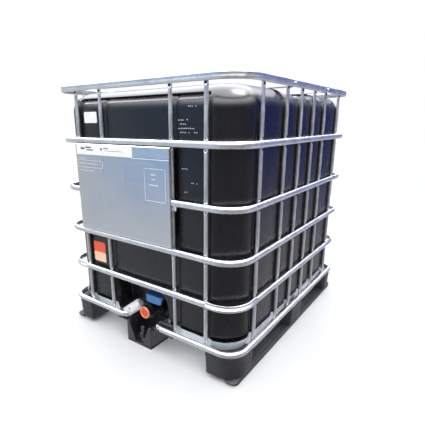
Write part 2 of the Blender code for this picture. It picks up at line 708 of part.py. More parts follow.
def build_fill_closure(materials):
    """Gasket, screw cap and, in the cap's middle, a small vent plug on its own seal."""
    gasket_low = NECK_TOP + GAP
    gasket_high = gasket_low + GASKET_THICKNESS
    ring = [(NECK_RADIUS - 0.001, gasket_low), (NECK_RADIUS - 0.001, gasket_high),
            (NECK_BORE, gasket_high), (NECK_BORE, gasket_low)]
    add_object("fill_cap_gasket", *turned(ring), materials["seal"])

    # The flat sides of the cap's bore stay clear of the neck at every angle.
    inner = (NECK_RADIUS + GAP) / math.cos(math.pi / ROUND_SIDES)
    skirt = BASIN_LEVEL + 0.006
    cap = [
        (CAP_RADIUS, skirt), (CAP_RADIUS, CAP_TOP - 0.003), (CAP_RADIUS - 0.003, CAP_TOP),
        (VENT_BORE, CAP_TOP), (VENT_BORE, gasket_high + GAP), (inner, gasket_high + GAP), (inner, skirt),
    ]
    made = add_object("fill_cap", *turned(cap), materials["cap"])
    set_origin(made, Vector((0, 0, skirt)))

    seal_low = CAP_TOP + GAP
    seal_high = seal_low + 0.002
    seal = [(VENT_RADIUS + 0.005, seal_low), (VENT_RADIUS + 0.005, seal_high),
            (VENT_RADIUS + GAP, seal_high), (VENT_RADIUS + GAP, seal_low)]
    add_object("vent_plug_seal", *turned(seal), materials["seal"])
    plug = [
        (VENT_RADIUS - 0.003, gasket_high - 0.008), (VENT_RADIUS - GAP, gasket_high - 0.004),
        (VENT_RADIUS - GAP, seal_high + GAP), (VENT_RADIUS + 0.008, seal_high + GAP),
        (VENT_RADIUS + 0.008, seal_high + 0.008), (VENT_RADIUS + 0.004, seal_high + 0.010),
        (0.010, seal_high + 0.010),
    ]
    made = add_object("vent_plug", *turned_solid(plug), materials["vent"])
    set_origin(made, Vector((0, 0, seal_high)))


# ---------------------------------------------------------------- outlet valve
def build_outlet_nut(material):
    """The union nut that clamps the valve body to the bottle's spout."""
    back = RECESS_BACK + GAP + 0.001
    front = back + NUT_LENGTH
    profile = [
        (NUT_RADIUS, back), (NUT_RADIUS, front - 0.002), (NUT_RADIUS - 0.002, front),
        (SPOUT_RADIUS + GAP, front), (SPOUT_RADIUS + GAP, back),
    ]
    rings = []
    for side in range(ROUND_SIDES):
        angle = 2 * math.pi * side / ROUND_SIDES
        lobe = 0.0018 * (side % 4 < 2)
        ring = []
        for r, z in profile:
            radius = r - lobe if r > SPOUT_RADIUS + 0.002 else r
            ring.append(Vector((radius * math.cos(angle), radius * math.sin(angle), z)))
        rings.append(ring)
    vertices, faces = loft(rings, closed=True)
    faces = [tuple(reversed(face)) for face in faces]
    add_object("outlet_nut", moved(vertices, OUTLET_PLACE), faces, material)


def build_valve_body(material):
    """A short pipe with a threaded front end and a boss on top for the stem."""
    profile = [
        (BODY_RADIUS, BODY_BACK), (BODY_RADIUS, THREAD_BACK), (THREAD_RADIUS, THREAD_BACK),
        (THREAD_RADIUS, BODY_FRONT), (OUTLET_BORE + BODY_CLEARANCE, BODY_FRONT),
        (OUTLET_BORE + BODY_CLEARANCE, BODY_BACK),
    ]
    body = add_object("valve_body", *turned(profile, OUTLET_PLACE), material)
    low = OUTLET_LEVEL + OUTLET_BORE + 0.004
    boss = turned_solid([(BOSS_RADIUS, low), (BOSS_RADIUS, BOSS_TOP)], Matrix.Translation((0, STEM_Y, 0)), 24)
    cut(body, "UNION", add_cutter("stem_boss", *boss))
    bore = turned_solid([(STEM_RADIUS + GAP, OUTLET_LEVEL), (STEM_RADIUS + GAP, BOSS_TOP + 0.01)],
                        Matrix.Translation((0, STEM_Y, 0)), 24)
    cut(body, "DIFFERENCE", add_cutter("stem_bore", *bore))


def build_disc(material):
    """The butterfly disc, shut across the bore, with a rib up its middle for the stem."""
    half = DISC_THICKNESS / 2
    place = OUTLET_PLACE @ Matrix.Translation((0, 0, -STEM_Y))
    profile = [(DISC_RADIUS - 0.001, -half), (DISC_RADIUS, 0), (DISC_RADIUS - 0.001, half)]
    disc = add_object("butterfly_disc", *turned_solid(profile, place), material)
    reach = DISC_RADIUS * 0.80
    rib = turned_solid([(0.0045, OUTLET_LEVEL - reach), (0.0045, OUTLET_LEVEL + reach)],
                       Matrix.Translation((0, STEM_Y, 0)), 12)
    cut(disc, "UNION", add_cutter("disc_rib", *rib))
    set_stem_origin(disc)


def set_stem_origin(piece):
    set_origin(piece, Vector((0, STEM_Y, OUTLET_LEVEL)))


def build_stem(material):
    low = OUTLET_LEVEL + DISC_RADIUS + GAP
    profile = [(STEM_RADIUS, low), (STEM_RADIUS, LEVER_TOP - LEVER_PLATE - 0.001)]
    place = Matrix.Translation((0, STEM_Y, 0))
    stem = add_object("valve_stem", *turned_solid(profile, place, 24), material)
    set_stem_origin(stem)


def build_lever(material):
    """The handle: a hub on the stem and a channel-shaped grip that points to +X when the valve is shut."""
    place = Matrix.Translation((0, STEM_Y, 0))
    hub = turned_solid([(LEVER_HUB_RADIUS, LEVER_BOTTOM), (LEVER_HUB_RADIUS, LEVER_TOP)], place, 24)
    lever = add_object("valve_lever", *hub, material, smooth=False)
    half = LEVER_HALF_WIDTH
    heel = -LEVER_HEEL
    plan = [(heel, -half + 0.008), (heel + 0.008, -half), (LEVER_REACH - 0.006, -half), (LEVER_REACH, -half + 0.008),
            (LEVER_REACH, 0.004), (0.020, half), (heel + 0.008, half), (heel, half - 0.008)]

    def prism(points, low, high):
        rings = [[Vector((x, STEM_Y + y, z)) for x, y in points] for z in (low, high)]
        return loft(rings)

    cut(lever, "UNION", add_cutter("lever_top", *prism(plan, LEVER_TOP - LEVER_PLATE, LEVER_TOP)))
    near, far = -half + 0.0005, -half + LEVER_PLATE
    front = [(heel + 0.008, near), (LEVER_REACH - 0.006, near), (LEVER_REACH - 0.006, far), (heel + 0.008, far)]
    cut(lever, "UNION", add_cutter("lever_front", *prism(front, LEVER_BOTTOM, LEVER_TOP - 0.001)))
    socket = turned_solid([(STEM_RADIUS + GAP, LEVER_BOTTOM - 0.01), (STEM_RADIUS + GAP, LEVER_TOP - LEVER_PLATE)],
                          place, 24)
    cut(lever, "DIFFERENCE", add_cutter("lever_socket", *socket))
    set_stem_origin(lever)


def build_outlet_closure(materials):
    """Gasket and screw cap on the front of the valve body."""
    back = BODY_FRONT + GAP
    front = back + OUTLET_GASKET
    rim = THREAD_RADIUS - 0.0005
    ring = [(rim, back), (rim, front), (OUTLET_GASKET_BORE, front), (OUTLET_GASKET_BORE, back)]
    add_object("outlet_cap_gasket", *turned(ring, OUTLET_PLACE), materials["seal"])
    inner = THREAD_RADIUS + GAP
    outer = OUTLET_CAP_RADIUS
    profile = [
        (outer, OUTLET_CAP_BACK), (outer, OUTLET_CAP_FRONT - 0.003), (outer - 0.003, OUTLET_CAP_FRONT),
    ]
    cap = add_object("outlet_cap", *turned_solid(profile, OUTLET_PLACE), materials["outlet_cap"])
    hollow = turned_solid([(inner, OUTLET_CAP_BACK - 0.01), (inner, front + GAP)], OUTLET_PLACE)
    cut(cap, "DIFFERENCE", add_cutter("outlet_cap_hollow", *hollow))
    set_origin(cap, Vector((0, -OUTLET_CAP_BACK, OUTLET_LEVEL)))


def build_adapter(material):
    """A plain hose adapter: a cup with a small hole in its back, open at the outer end."""
    axis = ADAPTER_OUTER_END - ADAPTER_INNER_END
    length = axis.length
    outer, bore = ADAPTER_RADIUS, ADAPTER_BORE
    profile = [
        (outer - 0.003, 0), (outer, 0.004), (outer, length), (bore, length), (bore, ADAPTER_BACK),
        (ADAPTER_HOLE, ADAPTER_BACK), (ADAPTER_HOLE, 0),
    ]
    place = place_along(ADAPTER_INNER_END, axis.normalized())
    add_object("hose_adapter", *turned(profile, place), material)


# ---------------------------------------------------------------- assembly
def main():
    clear_scene()
    materials = make_materials()
    build_rim(materials["galvanised"])
    build_hoops(materials["galvanised"])
    build_base_ring(materials["galvanised"])
    build_uprights(materials["galvanised"])
    build_crossbars(materials["galvanised"])
    build_rivets(materials["zinc"])
    build_data_plate(materials["plate"])
    build_tray(materials["sheet"])
    build_feet(materials["foot"])
    build_runners(materials["runner"])
    build_guard(materials["foot"])
    build_bottle(materials["bottle"])
    build_fill_closure(materials)
    build_outlet_nut(materials["valve"])
    build_valve_body(materials["valve"])
    build_disc(materials["valve"])
    build_stem(materials["zinc"])
    build_lever(materials["lever"])
    build_outlet_closure(materials)
    build_adapter(materials["adapter"])


main()
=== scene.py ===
"""Looks for the intermediate bulk container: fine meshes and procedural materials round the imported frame."""
import math

import bpy
from mathutils import Matrix, Vector, noise


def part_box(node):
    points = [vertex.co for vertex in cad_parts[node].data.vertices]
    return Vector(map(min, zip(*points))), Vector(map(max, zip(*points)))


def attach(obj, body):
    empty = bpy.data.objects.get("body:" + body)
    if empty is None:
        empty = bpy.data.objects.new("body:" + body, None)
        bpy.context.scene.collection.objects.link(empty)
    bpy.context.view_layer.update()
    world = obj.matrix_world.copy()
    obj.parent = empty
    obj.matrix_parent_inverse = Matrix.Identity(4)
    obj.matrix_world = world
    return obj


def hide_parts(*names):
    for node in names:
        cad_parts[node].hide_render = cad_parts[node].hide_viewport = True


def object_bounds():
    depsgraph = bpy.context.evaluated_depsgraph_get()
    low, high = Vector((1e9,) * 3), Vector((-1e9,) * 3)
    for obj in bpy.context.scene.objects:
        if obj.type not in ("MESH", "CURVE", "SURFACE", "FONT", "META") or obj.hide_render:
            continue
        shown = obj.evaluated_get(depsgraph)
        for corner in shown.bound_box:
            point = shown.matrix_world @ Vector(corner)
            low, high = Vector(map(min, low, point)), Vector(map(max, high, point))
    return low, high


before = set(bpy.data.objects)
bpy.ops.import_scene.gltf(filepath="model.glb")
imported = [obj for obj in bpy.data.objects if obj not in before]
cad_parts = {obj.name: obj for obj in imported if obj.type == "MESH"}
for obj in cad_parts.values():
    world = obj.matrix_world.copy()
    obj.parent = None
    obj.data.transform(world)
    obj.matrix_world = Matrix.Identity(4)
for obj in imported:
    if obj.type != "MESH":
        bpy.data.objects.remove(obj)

CAD_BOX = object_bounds()
ROOT = "container"

# ---------------------------------------------------------------- sizes worked out from the frame
LOW, HIGH = (Vector(corner) for corner in CAD_BOX)
HALF_WIDTH = (HIGH.x - LOW.x) / 2
HALF_LENGTH = (HIGH.y - LOW.y) / 2


def box(node):
    """A CAD node's lowest and highest corners."""
    return tuple(Vector(corner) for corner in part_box(node))


def middle(node):
    low, high = box(node)
    return (low + high) / 2


def size(node):
    low, high = box(node)
    return high - low


HOOPS = ["hoop_1", "hoop_2", "hoop_3", "hoop_4"]
HOOP_LEVELS = [middle(node).z for node in HOOPS]
HOOP_HEIGHT = size("hoop_1").z
HOOP_DEPTH, HOOP_INSET = 0.017, 0.002
RIM_DEPTH, RIM_INSET = 0.016, 0.0025
BASE_DEPTH = 0.020
GAP = 0.0003
CAGE_CORNER = 0.105
BASE_RING_CORNER = 0.080
FRONT_UPRIGHTS = [middle(f"upright_front_{n}").x for n in range(1, 5)]
SIDE_UPRIGHTS = [middle(f"upright_right_{n}").y for n in range(1, 7)]
UPRIGHT_RADIUS = size("upright_right_1").x / 2
PUNCH_DISTANCE = HOOP_HEIGHT / 2 + 0.0095
CORNERS = ((1, 1), (-1, 1), (-1, -1), (1, -1))
VALVE_AXIS = middle("outlet_cap_gasket").z


def aimed(spot, direction):
    """A place at a spot, turned so that +Z looks along a direction."""
    return Matrix.Translation(spot) @ Vector(direction).to_track_quat("Z", "Y").to_matrix().to_4x4()


OUTLET = aimed((0, 0, VALVE_AXIS), (0, -1, 0))


# ---------------------------------------------------------------- mesh helpers
def smoothstep(low, high, value):
    t = min(max((value - low) / (high - low), 0.0), 1.0)
    return t * t * (3 - 2 * t)


def bell(distance, width):
    """1 at no distance, falling smoothly to 0 at the width."""
    return 1 - smoothstep(0, width, abs(distance))


def piece(name, vertices, faces, material, angle):
    mesh = bpy.data.meshes.new(name)
    mesh.from_pydata([tuple(v) for v in vertices], [], faces)
    mesh.validate()
    mesh.update()
    mesh.shade_smooth()
    mesh.set_sharp_from_angle(angle=math.radians(angle))
    made = bpy.data.objects.new(name, mesh)
    bpy.context.scene.collection.objects.link(made)
    made.data.materials.append(material)
    return made


def stand_for(made, body, slot, *nodes):
    """Makes a piece ride on a body, in place of some CAD nodes. The slot argument is not used."""
    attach(made, body)
    if nodes:
        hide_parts(*nodes)


def bevel(made, width, segments):
    modifier = made.modifiers.new("soft_edges", "BEVEL")
    modifier.width = width
    modifier.segments = segments
    modifier.limit_method = "ANGLE"
    modifier.angle_limit = math.radians(35)


def add(name, shape, material, slot, *nodes, body=ROOT, soft=0, segments=2, angle=40):
    """A piece with its material, softened edges if asked, body and the CAD nodes that it replaces. The slot
    argument is passed on but not used.
    """
    made = piece(name, *shape, MATERIALS[material], angle)
    if soft:
        bevel(made, soft, segments)
    stand_for(made, body, slot, *nodes)


def loft(rings, closed=False, caps=True):
    """Vertices and faces of a skin through rings of equal length."""
    count = len(rings[0])
    vertices = [point for ring in rings for point in ring]
    faces = []
    for level in range(len(rings) if closed else len(rings) - 1):
        low, high = level * count, ((level + 1) % len(rings)) * count
        for side in range(count):
            after = (side + 1) % count
            faces.append((low + side, low + after, high + after, high + side))
    if caps and not closed:
        faces.append(tuple(range(count - 1, -1, -1)))
        faces.append(tuple(range((len(rings) - 1) * count, len(rings) * count)))
    return vertices, faces


def flipped(shape):
    vertices, faces = shape
    return vertices, [tuple(reversed(face)) for face in faces]


def joined(*shapes):
    """Several closed shapes as one list of vertices and faces."""
    vertices, faces = [], []
    for more_vertices, more_faces in shapes:
        offset = len(vertices)
        vertices += list(more_vertices)
        faces += [tuple(index + offset for index in face) for face in more_faces]
    return vertices, faces


def placed(shape, place):
    vertices, faces = shape
    return [place @ Vector(point) for point in vertices], faces


def block(low, high):
    """A box between two corners."""
    (x0, y0, z0), (x1, y1, z1) = low, high
    base = [Vector((x0, y0, z0)), Vector((x1, y0, z0)), Vector((x1, y1, z0)), Vector((x0, y1, z0))]
    return loft([base, [point + Vector((0, 0, z1 - z0)) for point in base]])


def prism(outline, near, far):
    """A prism along Y from an (x, z) outline."""
    return flipped(loft([[Vector((x, depth, z)) for x, z in outline] for depth in (near, far)]))


def slab(outline, low, high):
    """A prism along Z from an (x, y) outline."""
    return loft([[Vector((x, y, z)) for x, y in outline] for z in (low, high)])


def turned_rings(profile, sides, ribs):
    """A ring for each (radius, z) corner. ribs(angle, radius, z), if given, is a change of radius."""
    rings = []
    for radius, z in profile:
        ring = []
        for side in range(sides):
            angle = 2 * math.pi * side / sides
            r = radius + (ribs(angle, radius, z) if ribs else 0)
            ring.append(Vector((r * math.cos(angle), r * math.sin(angle), z)))
        rings.append(ring)
    return rings


def turned(profile, sides=64, ribs=None):
    """A closed body of revolution about Z, with corners listed up the outside and down the inside."""
    return flipped(loft(list(zip(*turned_rings(profile, sides, ribs))), closed=True))


def turned_solid(profile, sides=64, ribs=None):
    """The same with flat ends, with corners listed upwards."""
    return loft(turned_rings(profile, sides, ribs))


def wave(angle, count):
    """0 to 1 and back, some number of times round a circle."""
    return 0.5 - 0.5 * math.cos(angle * count)


def rounded_box(low, high, radii, steps):
    """(a, b) points round a box, with a radius for each corner, counter-clockwise from the highest corner."""
    points = []
    for quarter, signs in enumerate(CORNERS):
        radius = radii[quarter]
        centre = [high[i] - radius if signs[i] > 0 else low[i] + radius for i in (0, 1)]
        for step in range(steps + 1):
            angle = math.pi / 2 * (quarter + step / steps)
            points.append((centre[0] + radius * math.cos(angle), centre[1] + radius * math.sin(angle)))
    return points


def outline_stations(half_x, half_y, radius, spacing, corner_steps):
    """(x, y, normal x, normal y) round a rounded rectangle, counter-clockwise from +X."""
    stations = []
    for quarter, (sign_x, sign_y) in enumerate(CORNERS):
        for step in range(corner_steps + 1):
            angle = math.pi / 2 * (quarter + step / corner_steps)
            normal = Vector((math.cos(angle), math.sin(angle)))
            spot = Vector((sign_x * (half_x - radius), sign_y * (half_y - radius))) + normal * radius
            stations.append((*spot, *normal))
        start = Vector(stations[-1][:2])
        normal = Vector(stations[-1][2:])
        next_x, next_y = CORNERS[(quarter + 1) % 4]
        angle = math.pi / 2 * (quarter + 1)
        end = Vector((next_x * (half_x - radius), next_y * (half_y - radius)))
        end += Vector((math.cos(angle), math.sin(angle))) * radius
        count = max(int((end - start).length / spacing), 1)
        for step in range(1, count):
            stations.append((*start.lerp(end, step / count), *normal))
    return stations


# ---------------------------------------------------------------- materials
class Tree:
    """A node tree, with short calls for the nodes used here."""

    def __init__(self, tree):
        self.tree = tree

    def give(self, socket, value):
        """Sets an input to a number or a colour, or links another node's output to it."""
        if isinstance(value, bpy.types.NodeSocket):
            self.tree.links.new(value, socket)
        else:
            socket.default_value = value

    def node(self, kind, **inputs):
        made = self.tree.nodes.new(f"ShaderNode{kind}")
        for name, value in inputs.items():
            self.give(made.inputs[name.replace("_", " ")], value)
        return made

    def mix(self, factor, first, second):
        """A colour between two, each given as a tuple or a socket."""
        made = self.tree.nodes.new("ShaderNodeMix")
        made.data_type = "RGBA"
        self.give(made.inputs["Factor"], factor)
        for socket, colour in ((made.inputs[6], first), (made.inputs[7], second)):
            self.give(socket, (*colour, 1.0) if isinstance(colour, tuple) else colour)
        return made.outputs[2]


class Nodes(Tree):
    """A material's node tree."""

    def __init__(self, name, roughness, metallic=0.0):
        self.material = bpy.data.materials.new(name)
        self.material.use_nodes = True
        super().__init__(self.material.node_tree)
        self.shader = self.tree.nodes["Principled BSDF"].inputs
        self.shader["Roughness"].default_value = roughness
        self.shader["Metallic"].default_value = metallic
        self.place = self.node("TexCoord").outputs["Object"]
        self.bump_from = None

    def stretched(self, scale):
        return self.node("Mapping", Scale=scale, Vector=self.place).outputs["Vector"]

    def noise(self, scale, detail=4.0, roughness=0.55, vector=None):
        vector = vector or self.place
        made = self.node("TexNoise", Scale=scale, Detail=detail, Roughness=roughness, Vector=vector)
        return made.outputs["Fac"]

    def cells(self, scale):
        colours = self.node("TexVoronoi", Scale=scale, Vector=self.place).outputs["Color"]
        return self.node("RGBToBW", Color=colours).outputs["Val"]

    def edges(self):
        return self.node("NewGeometry").outputs["Pointiness"]

    def remap(self, value, low, high, to_low, to_high):
        made = self.node("MapRange", From_Min=low, From_Max=high, To_Min=to_low, To_Max=to_high, Value=value)
        return made.outputs["Result"]

    def add(self, first, second, weight):
        made = self.tree.nodes.new("ShaderNodeMath")
        made.operation = "MULTIPLY_ADD"
        for socket, value in zip(made.inputs, (second, weight, first)):
            self.give(socket, value)
        return made.outputs[0]

    def colour(self, source):
        self.give(self.shader["Base Color"], source)

    def rough(self, source):
        self.give(self.shader["Roughness"], source)

    def bump(self, height, strength, distance):
        made = self.node("Bump", Strength=strength, Distance=distance, Height=height)
        if self.bump_from:
            self.give(made.inputs["Normal"], self.bump_from)
        self.bump_from = made.outputs["Normal"]
        self.give(self.shader["Normal"], self.bump_from)


def galvanised(name, light, dark, grain=1.0, metallic=0.85, rough=(0.24, 0.42), ripple=0.0012):
    """Hot-dip zinc: spangle cells, cloudy tone, rubbed bright edges and a fine ripple."""
    made = Nodes(name, 0.35, metallic)
    spangle = made.cells(95 * grain)
    cloud = made.noise(14 * grain, 6)
    fine = made.noise(420, 2)
    tone = made.add(made.remap(cloud, 0.3, 0.7, 0.0, 0.75), spangle, 0.35)
    worn = made.remap(made.edges(), 0.5, 0.58, 0.0, 0.5)
    made.colour(made.mix(worn, made.mix(tone, dark, light), (0.93, 0.94, 0.95)))
    made.rough(made.remap(made.add(cloud, spangle, 0.5), 0.3, 1.0, *rough))
    made.bump(made.add(cloud, fine, 0.25), 0.22, ripple)
    return made.material


def moulded(name, low, high, roughness, peel=260, wave=9, wave_depth=0.0015, scuff_and_sheen=None):
    """Moulded plastic: slow tone change, orange peel, slow waviness and, if asked, a pale colour on marks and
    edges that is scuffing, and on the blue handle also a painted highlight.
    """
    made = Nodes(name, roughness[0])
    slow = made.noise(wave, 3)
    skin = made.noise(peel, 2)
    marks = made.noise(38, 8, 0.7, made.stretched((1.0, 1.0, 0.25)))
    tone = made.mix(made.remap(slow, 0.3, 0.7, 0.0, 1.0), low, high)
    if scuff_and_sheen:
        # Pale colour on marks and convex edges: scuffing, and on the blue handle a painted highlight too.
        tone = made.mix(made.remap(marks, 0.58, 0.8, 0.0, 0.45), tone, scuff_and_sheen)
        tone = made.mix(made.remap(made.edges(), 0.53, 0.61, 0.0, 0.6), tone, scuff_and_sheen)
    made.colour(tone)
    made.rough(made.remap(marks, 0.3, 0.7, *roughness))
    made.bump(slow, 0.25, wave_depth)
    made.bump(skin, 0.12, 0.0004)
    return made.material


def paper(name, colour, stain):
    made = Nodes(name, 0.55)
    fibre = made.noise(300, 4)
    cloud = made.noise(25, 5)
    made.colour(made.mix(made.remap(cloud, 0.35, 0.75, 0.0, 0.5), colour, stain))
    made.rough(made.remap(fibre, 0.3, 0.7, 0.45, 0.65))
    made.bump(fibre, 0.1, 0.0002)
    return made.material


MATERIALS = {
    "tube": galvanised("galvanised_tube", (0.67, 0.68, 0.69), (0.50, 0.51, 0.525)),
    # Painted shade: the crossbar zinc is a darker copy of the tube zinc, for bars that lie in shadow across
    # the bottle's top.
    "bar": galvanised("galvanised_bar", (0.40, 0.41, 0.43), (0.26, 0.27, 0.29), 1.3),
    # Painted reflection: the sheet zinc's bluish tint stands in for blue light reflected on the leaning tray
    # wall; its cloudy tone and spangle are the zinc's own.
    "sheet": galvanised("galvanised_sheet", (0.86, 0.91, 0.97), (0.70, 0.77, 0.86), 0.5, 0.35),
    "plate": galvanised("data_plate_sheet", (0.60, 0.61, 0.62), (0.54, 0.55, 0.56), 0.45, 0.95, (0.17, 0.24),
                        0.0001),
    "zinc": galvanised("zinc_fastener", (0.90, 0.90, 0.90), (0.7, 0.7, 0.7), 2.0, 0.95, (0.18, 0.3)),
    "stem": galvanised("stainless_stem", (0.62, 0.62, 0.62), (0.5, 0.5, 0.5), 3.0, 0.95),
    "bottle": moulded("black_polyethylene", (0.0050, 0.0048, 0.0062), (0.0085, 0.0078, 0.0090),
                      (0.25, 0.31), 240, 5, 0.003),
    "cap": moulded("black_closure", (0.015, 0.015, 0.016), (0.028, 0.028, 0.03), (0.36, 0.5)),
    "vent": moulded("red_closure", (0.42, 0.03, 0.02), (0.52, 0.05, 0.03), (0.36, 0.5)),
    "rubber": moulded("seal_rubber", (0.03, 0.03, 0.03), (0.05, 0.05, 0.05), (0.65, 0.8)),
    "foot": moulded("foot_plastic", (0.016, 0.016, 0.018), (0.030, 0.030, 0.033),
                    (0.40, 0.60), 160, 14, 0.002, (0.10, 0.10, 0.105)),
    "guard": moulded("guard_plastic", (0.006, 0.006, 0.007), (0.014, 0.014, 0.015),
                     (0.18, 0.32), 160, 14, 0.003, (0.08, 0.08, 0.085)),
    "runner": moulded("runner_plastic", (0.014, 0.014, 0.016), (0.025, 0.025, 0.028),
                      (0.5, 0.7), 160, 14, 0.002, (0.08, 0.08, 0.08)),
    "valve": moulded("valve_plastic", (0.005, 0.005, 0.006), (0.010, 0.010, 0.011), (0.22, 0.36)),
    # The light blue on the handle's edges and marks is partly scuffing and partly a painted highlight along
    # its top edge.
    "lever": moulded("blue_handle", (0.012, 0.10, 0.36), (0.025, 0.15, 0.46),
                     (0.24, 0.36), scuff_and_sheen=(0.30, 0.52, 0.85)),
    "orange": moulded("orange_closure", (0.78, 0.20, 0.08), (0.86, 0.30, 0.14),
                      (0.35, 0.5), scuff_and_sheen=(0.95, 0.62, 0.45)),
    "orange_centre": moulded("orange_centre", (0.66, 0.055, 0.012), (0.76, 0.10, 0.02), (0.35, 0.5)),
    "adapter": moulded("light_adapter", (0.74, 0.75, 0.76), (0.86, 0.87, 0.88),
                       (0.25, 0.4), scuff_and_sheen=(0.95, 0.95, 0.95)),
    "adapter_mark": moulded("adapter_mark", (0.26, 0.26, 0.26), (0.34, 0.34, 0.34), (0.4, 0.5)),
    "white": paper("white_paper", (0.88, 0.88, 0.88), (0.74, 0.74, 0.74)),
    "blue_strip": paper("bluish_film", (0.26, 0.37, 0.50), (0.20, 0.30, 0.43)),
    "red": paper("red_paper", (0.80, 0.09, 0.03), (0.62, 0.08, 0.04)),
    "cream": paper("cream_paper", (0.85, 0.55, 0.36), (0.92, 0.74, 0.60)),
    "fleck": paper("pale_fleck", (0.62, 0.62, 0.64), (0.42, 0.42, 0.45)),
    "hole": moulded("shadowed_hole", (0.004, 0.004, 0.004), (0.008, 0.008, 0.008), (0.6, 0.8)),
    "ink": paper("dark_ink", (0.10, 0.10, 0.11), (0.18, 0.18, 0.19)),
}


# ---------------------------------------------------------------- cage
def oval(depth, height, sides, power):
    """(out, up) points of a slightly squared oval section."""
    points = []
    for side in range(sides):
        angle = 2 * math.pi * (side + 0.5) / sides
        c, s = math.cos(angle), math.sin(angle)
        points.append((
            depth / 2 * math.copysign(abs(c) ** power, c),
            height / 2 * math.copysign(abs(s) ** power, s),
        ))
    return points


def crossing_distance(x, y):
    """Distance along a straight from a place on a hoop to the nearest upright."""
    if abs(y) > HALF_LENGTH - 0.03:
        return min(abs(x - at) for at in FRONT_UPRIGHTS)
    if abs(x) > HALF_WIDTH - 0.03:
        return min(abs(y - at) for at in SIDE_UPRIGHTS)
    return 1.0


def corner_amount(x, y):
    """1 on the corner pieces of the fourth hoop, which run from the last upright of one side to the next."""
    reach = 0.012
    past_front = smoothstep(FRONT_UPRIGHTS[-1], FRONT_UPRIGHTS[-1] + reach, abs(x))
    past_side = smoothstep(SIDE_UPRIGHTS[-1], SIDE_UPRIGHTS[-1] + reach, abs(y))
    return past_front * past_side


def tube_section(kind, x, y):
    """The section of a horizontal tube at a place on its path."""
    crossing = bell(crossing_distance(x, y), 0.022)
    if kind == "rim":
        height, depth = size("top_rim").z, RIM_DEPTH
        points = oval(depth, height, 28, 0.72)
        # A pressed groove runs round the outside of the rim.
        return [(out - 0.0022 * bell(up, 0.006) * (out > 0), up) for out, up in points]
    if kind == "base":
        points = oval(BASE_DEPTH, size("base_ring").z, 24, 0.85)
        end = smoothstep(0.118, 0.098, abs(x)) * (y < 0)
        return [(out * (1 - 0.62 * end) - 0.004 * end, up * (1 - 0.06 * end)) for out, up in points]
    points = oval(HOOP_DEPTH, HOOP_HEIGHT, 24, 0.92)
    corner = corner_amount(x, y) if kind == "hoop_4" else 0.0
    shaped = []
    for out, up in points:
        press = 0.0012 * crossing * (out < 0)
        dish = corner * 0.0075 * bell(up - HOOP_HEIGHT * 0.22, HOOP_HEIGHT * 0.42) * (out > 0)
        shaped.append((out + press - dish, up * (1 + 0.10 * corner)))
    return shaped


def horizontal_tube(node, kind, depth, path_filter=None):
    """A tube that runs all the way round, or along the part of the path that the filter keeps."""
    low, high = box(node)
    half_x, half_y = (high.x - low.x - depth) / 2, (high.y - low.y - depth) / 2
    corner = BASE_RING_CORNER if kind == "base" else CAGE_CORNER
    stations = outline_stations(half_x, half_y, corner, 0.006, 20)
    level = (low.z + high.z) / 2
    closed = path_filter is None
    if path_filter:
        stations = path_filter(stations)
    rings = []
    for x, y, normal_x, normal_y in stations:
        section = tube_section(kind, x, y)
        rings.append([Vector((x + normal_x * out, y + normal_y * out, level + up)) for out, up in section])
    add(f"{node}_tube", flipped(loft(rings, closed)), "tube", "galvanised_tube", node)


def without_gap(loop, front, half_gap, spot=lambda item: item):
    """A loop from just right of a gap in its front side round to just left of it."""
    kept = [item for item in loop if not (spot(item)[1] < front and abs(spot(item)[0]) < half_gap)]
    start = next(i for i, item in enumerate(kept) if spot(item)[1] < front and spot(item)[0] >= half_gap)
    return kept[start:] + kept[:start]


def open_at_front(stations):
    """Starts the base ring's path right of the valve and ends it left of the valve."""
    gap = 0.090
    kept = without_gap(stations, -HALF_LENGTH + 0.03, gap - 0.002)
    y = kept[0][1]
    return [(gap, y, 0.0, -1.0)] + kept + [(-gap, y, 0.0, -1.0)]


def upright_shape():
    """One upright at the origin with its outer side towards +X."""
    low, high = box("upright_right_1")
    plane = middle("upright_right_1").x
    base_low, base_high = box("base_ring")
    rim_low = box("top_rim")[0].z
    radius = UPRIGHT_RADIUS
    hoop_face = HALF_WIDTH - HOOP_INSET - HOOP_DEPTH - GAP - plane
    rim_face = HALF_WIDTH - RIM_INSET - RIM_DEPTH - GAP - plane
    base_face = HALF_WIDTH - BASE_DEPTH - GAP - plane
    levels = {low.z, low.z + 0.002, high.z - 0.002, high.z}
    fine_step, coarse_step, sides = 0.0025, 0.02, 20
    for centre in (*HOOP_LEVELS, (base_low.z + base_high.z) / 2, rim_low + 0.01):
        for count in range(-18, 19):
            z = centre + count * fine_step
            if low.z < z < high.z:
                levels.add(round(z, 5))
    z = low.z
    while z < high.z:
        levels.add(round(z, 5))
        z += coarse_step
    rings = []
    for z in sorted(levels):
        reach, widen, dimple = radius, 0.0, 0.0
        for centre in HOOP_LEVELS:
            flat = smoothstep(HOOP_HEIGHT / 2 + 0.014, HOOP_HEIGHT / 2 + 0.003, abs(z - centre))
            reach = min(reach, radius + (hoop_face - radius) * flat)
            widen = max(widen, flat)
            dimple = max(dimple, bell(abs(z - centre) - PUNCH_DISTANCE, 0.0075))
        top = smoothstep(rim_low - 0.022, rim_low - 0.004, z)
        reach = min(reach, radius + (rim_face - radius) * top)
        bottom = smoothstep(base_high.z + 0.020, base_high.z + 0.003, z)
        reach = min(reach, radius + (base_face - radius) * bottom)
        widen = max(widen, top, bottom)
        pressed = smoothstep(rim_low - 0.10, rim_low - 0.06, z)
        ring = []
        for side in range(sides):
            angle = 2 * math.pi * (side + 0.5) / sides
            out = min(radius * math.cos(angle) * (1 - 0.22 * pressed), reach)
            across = radius * math.sin(angle) * (1 + 0.06 * widen + 0.10 * pressed)
            out -= 0.0024 * dimple * bell(across, 0.006) * (math.cos(angle) > 0)
            ring.append(Vector((out, across, z)))
        rings.append(ring)
    return loft(rings)


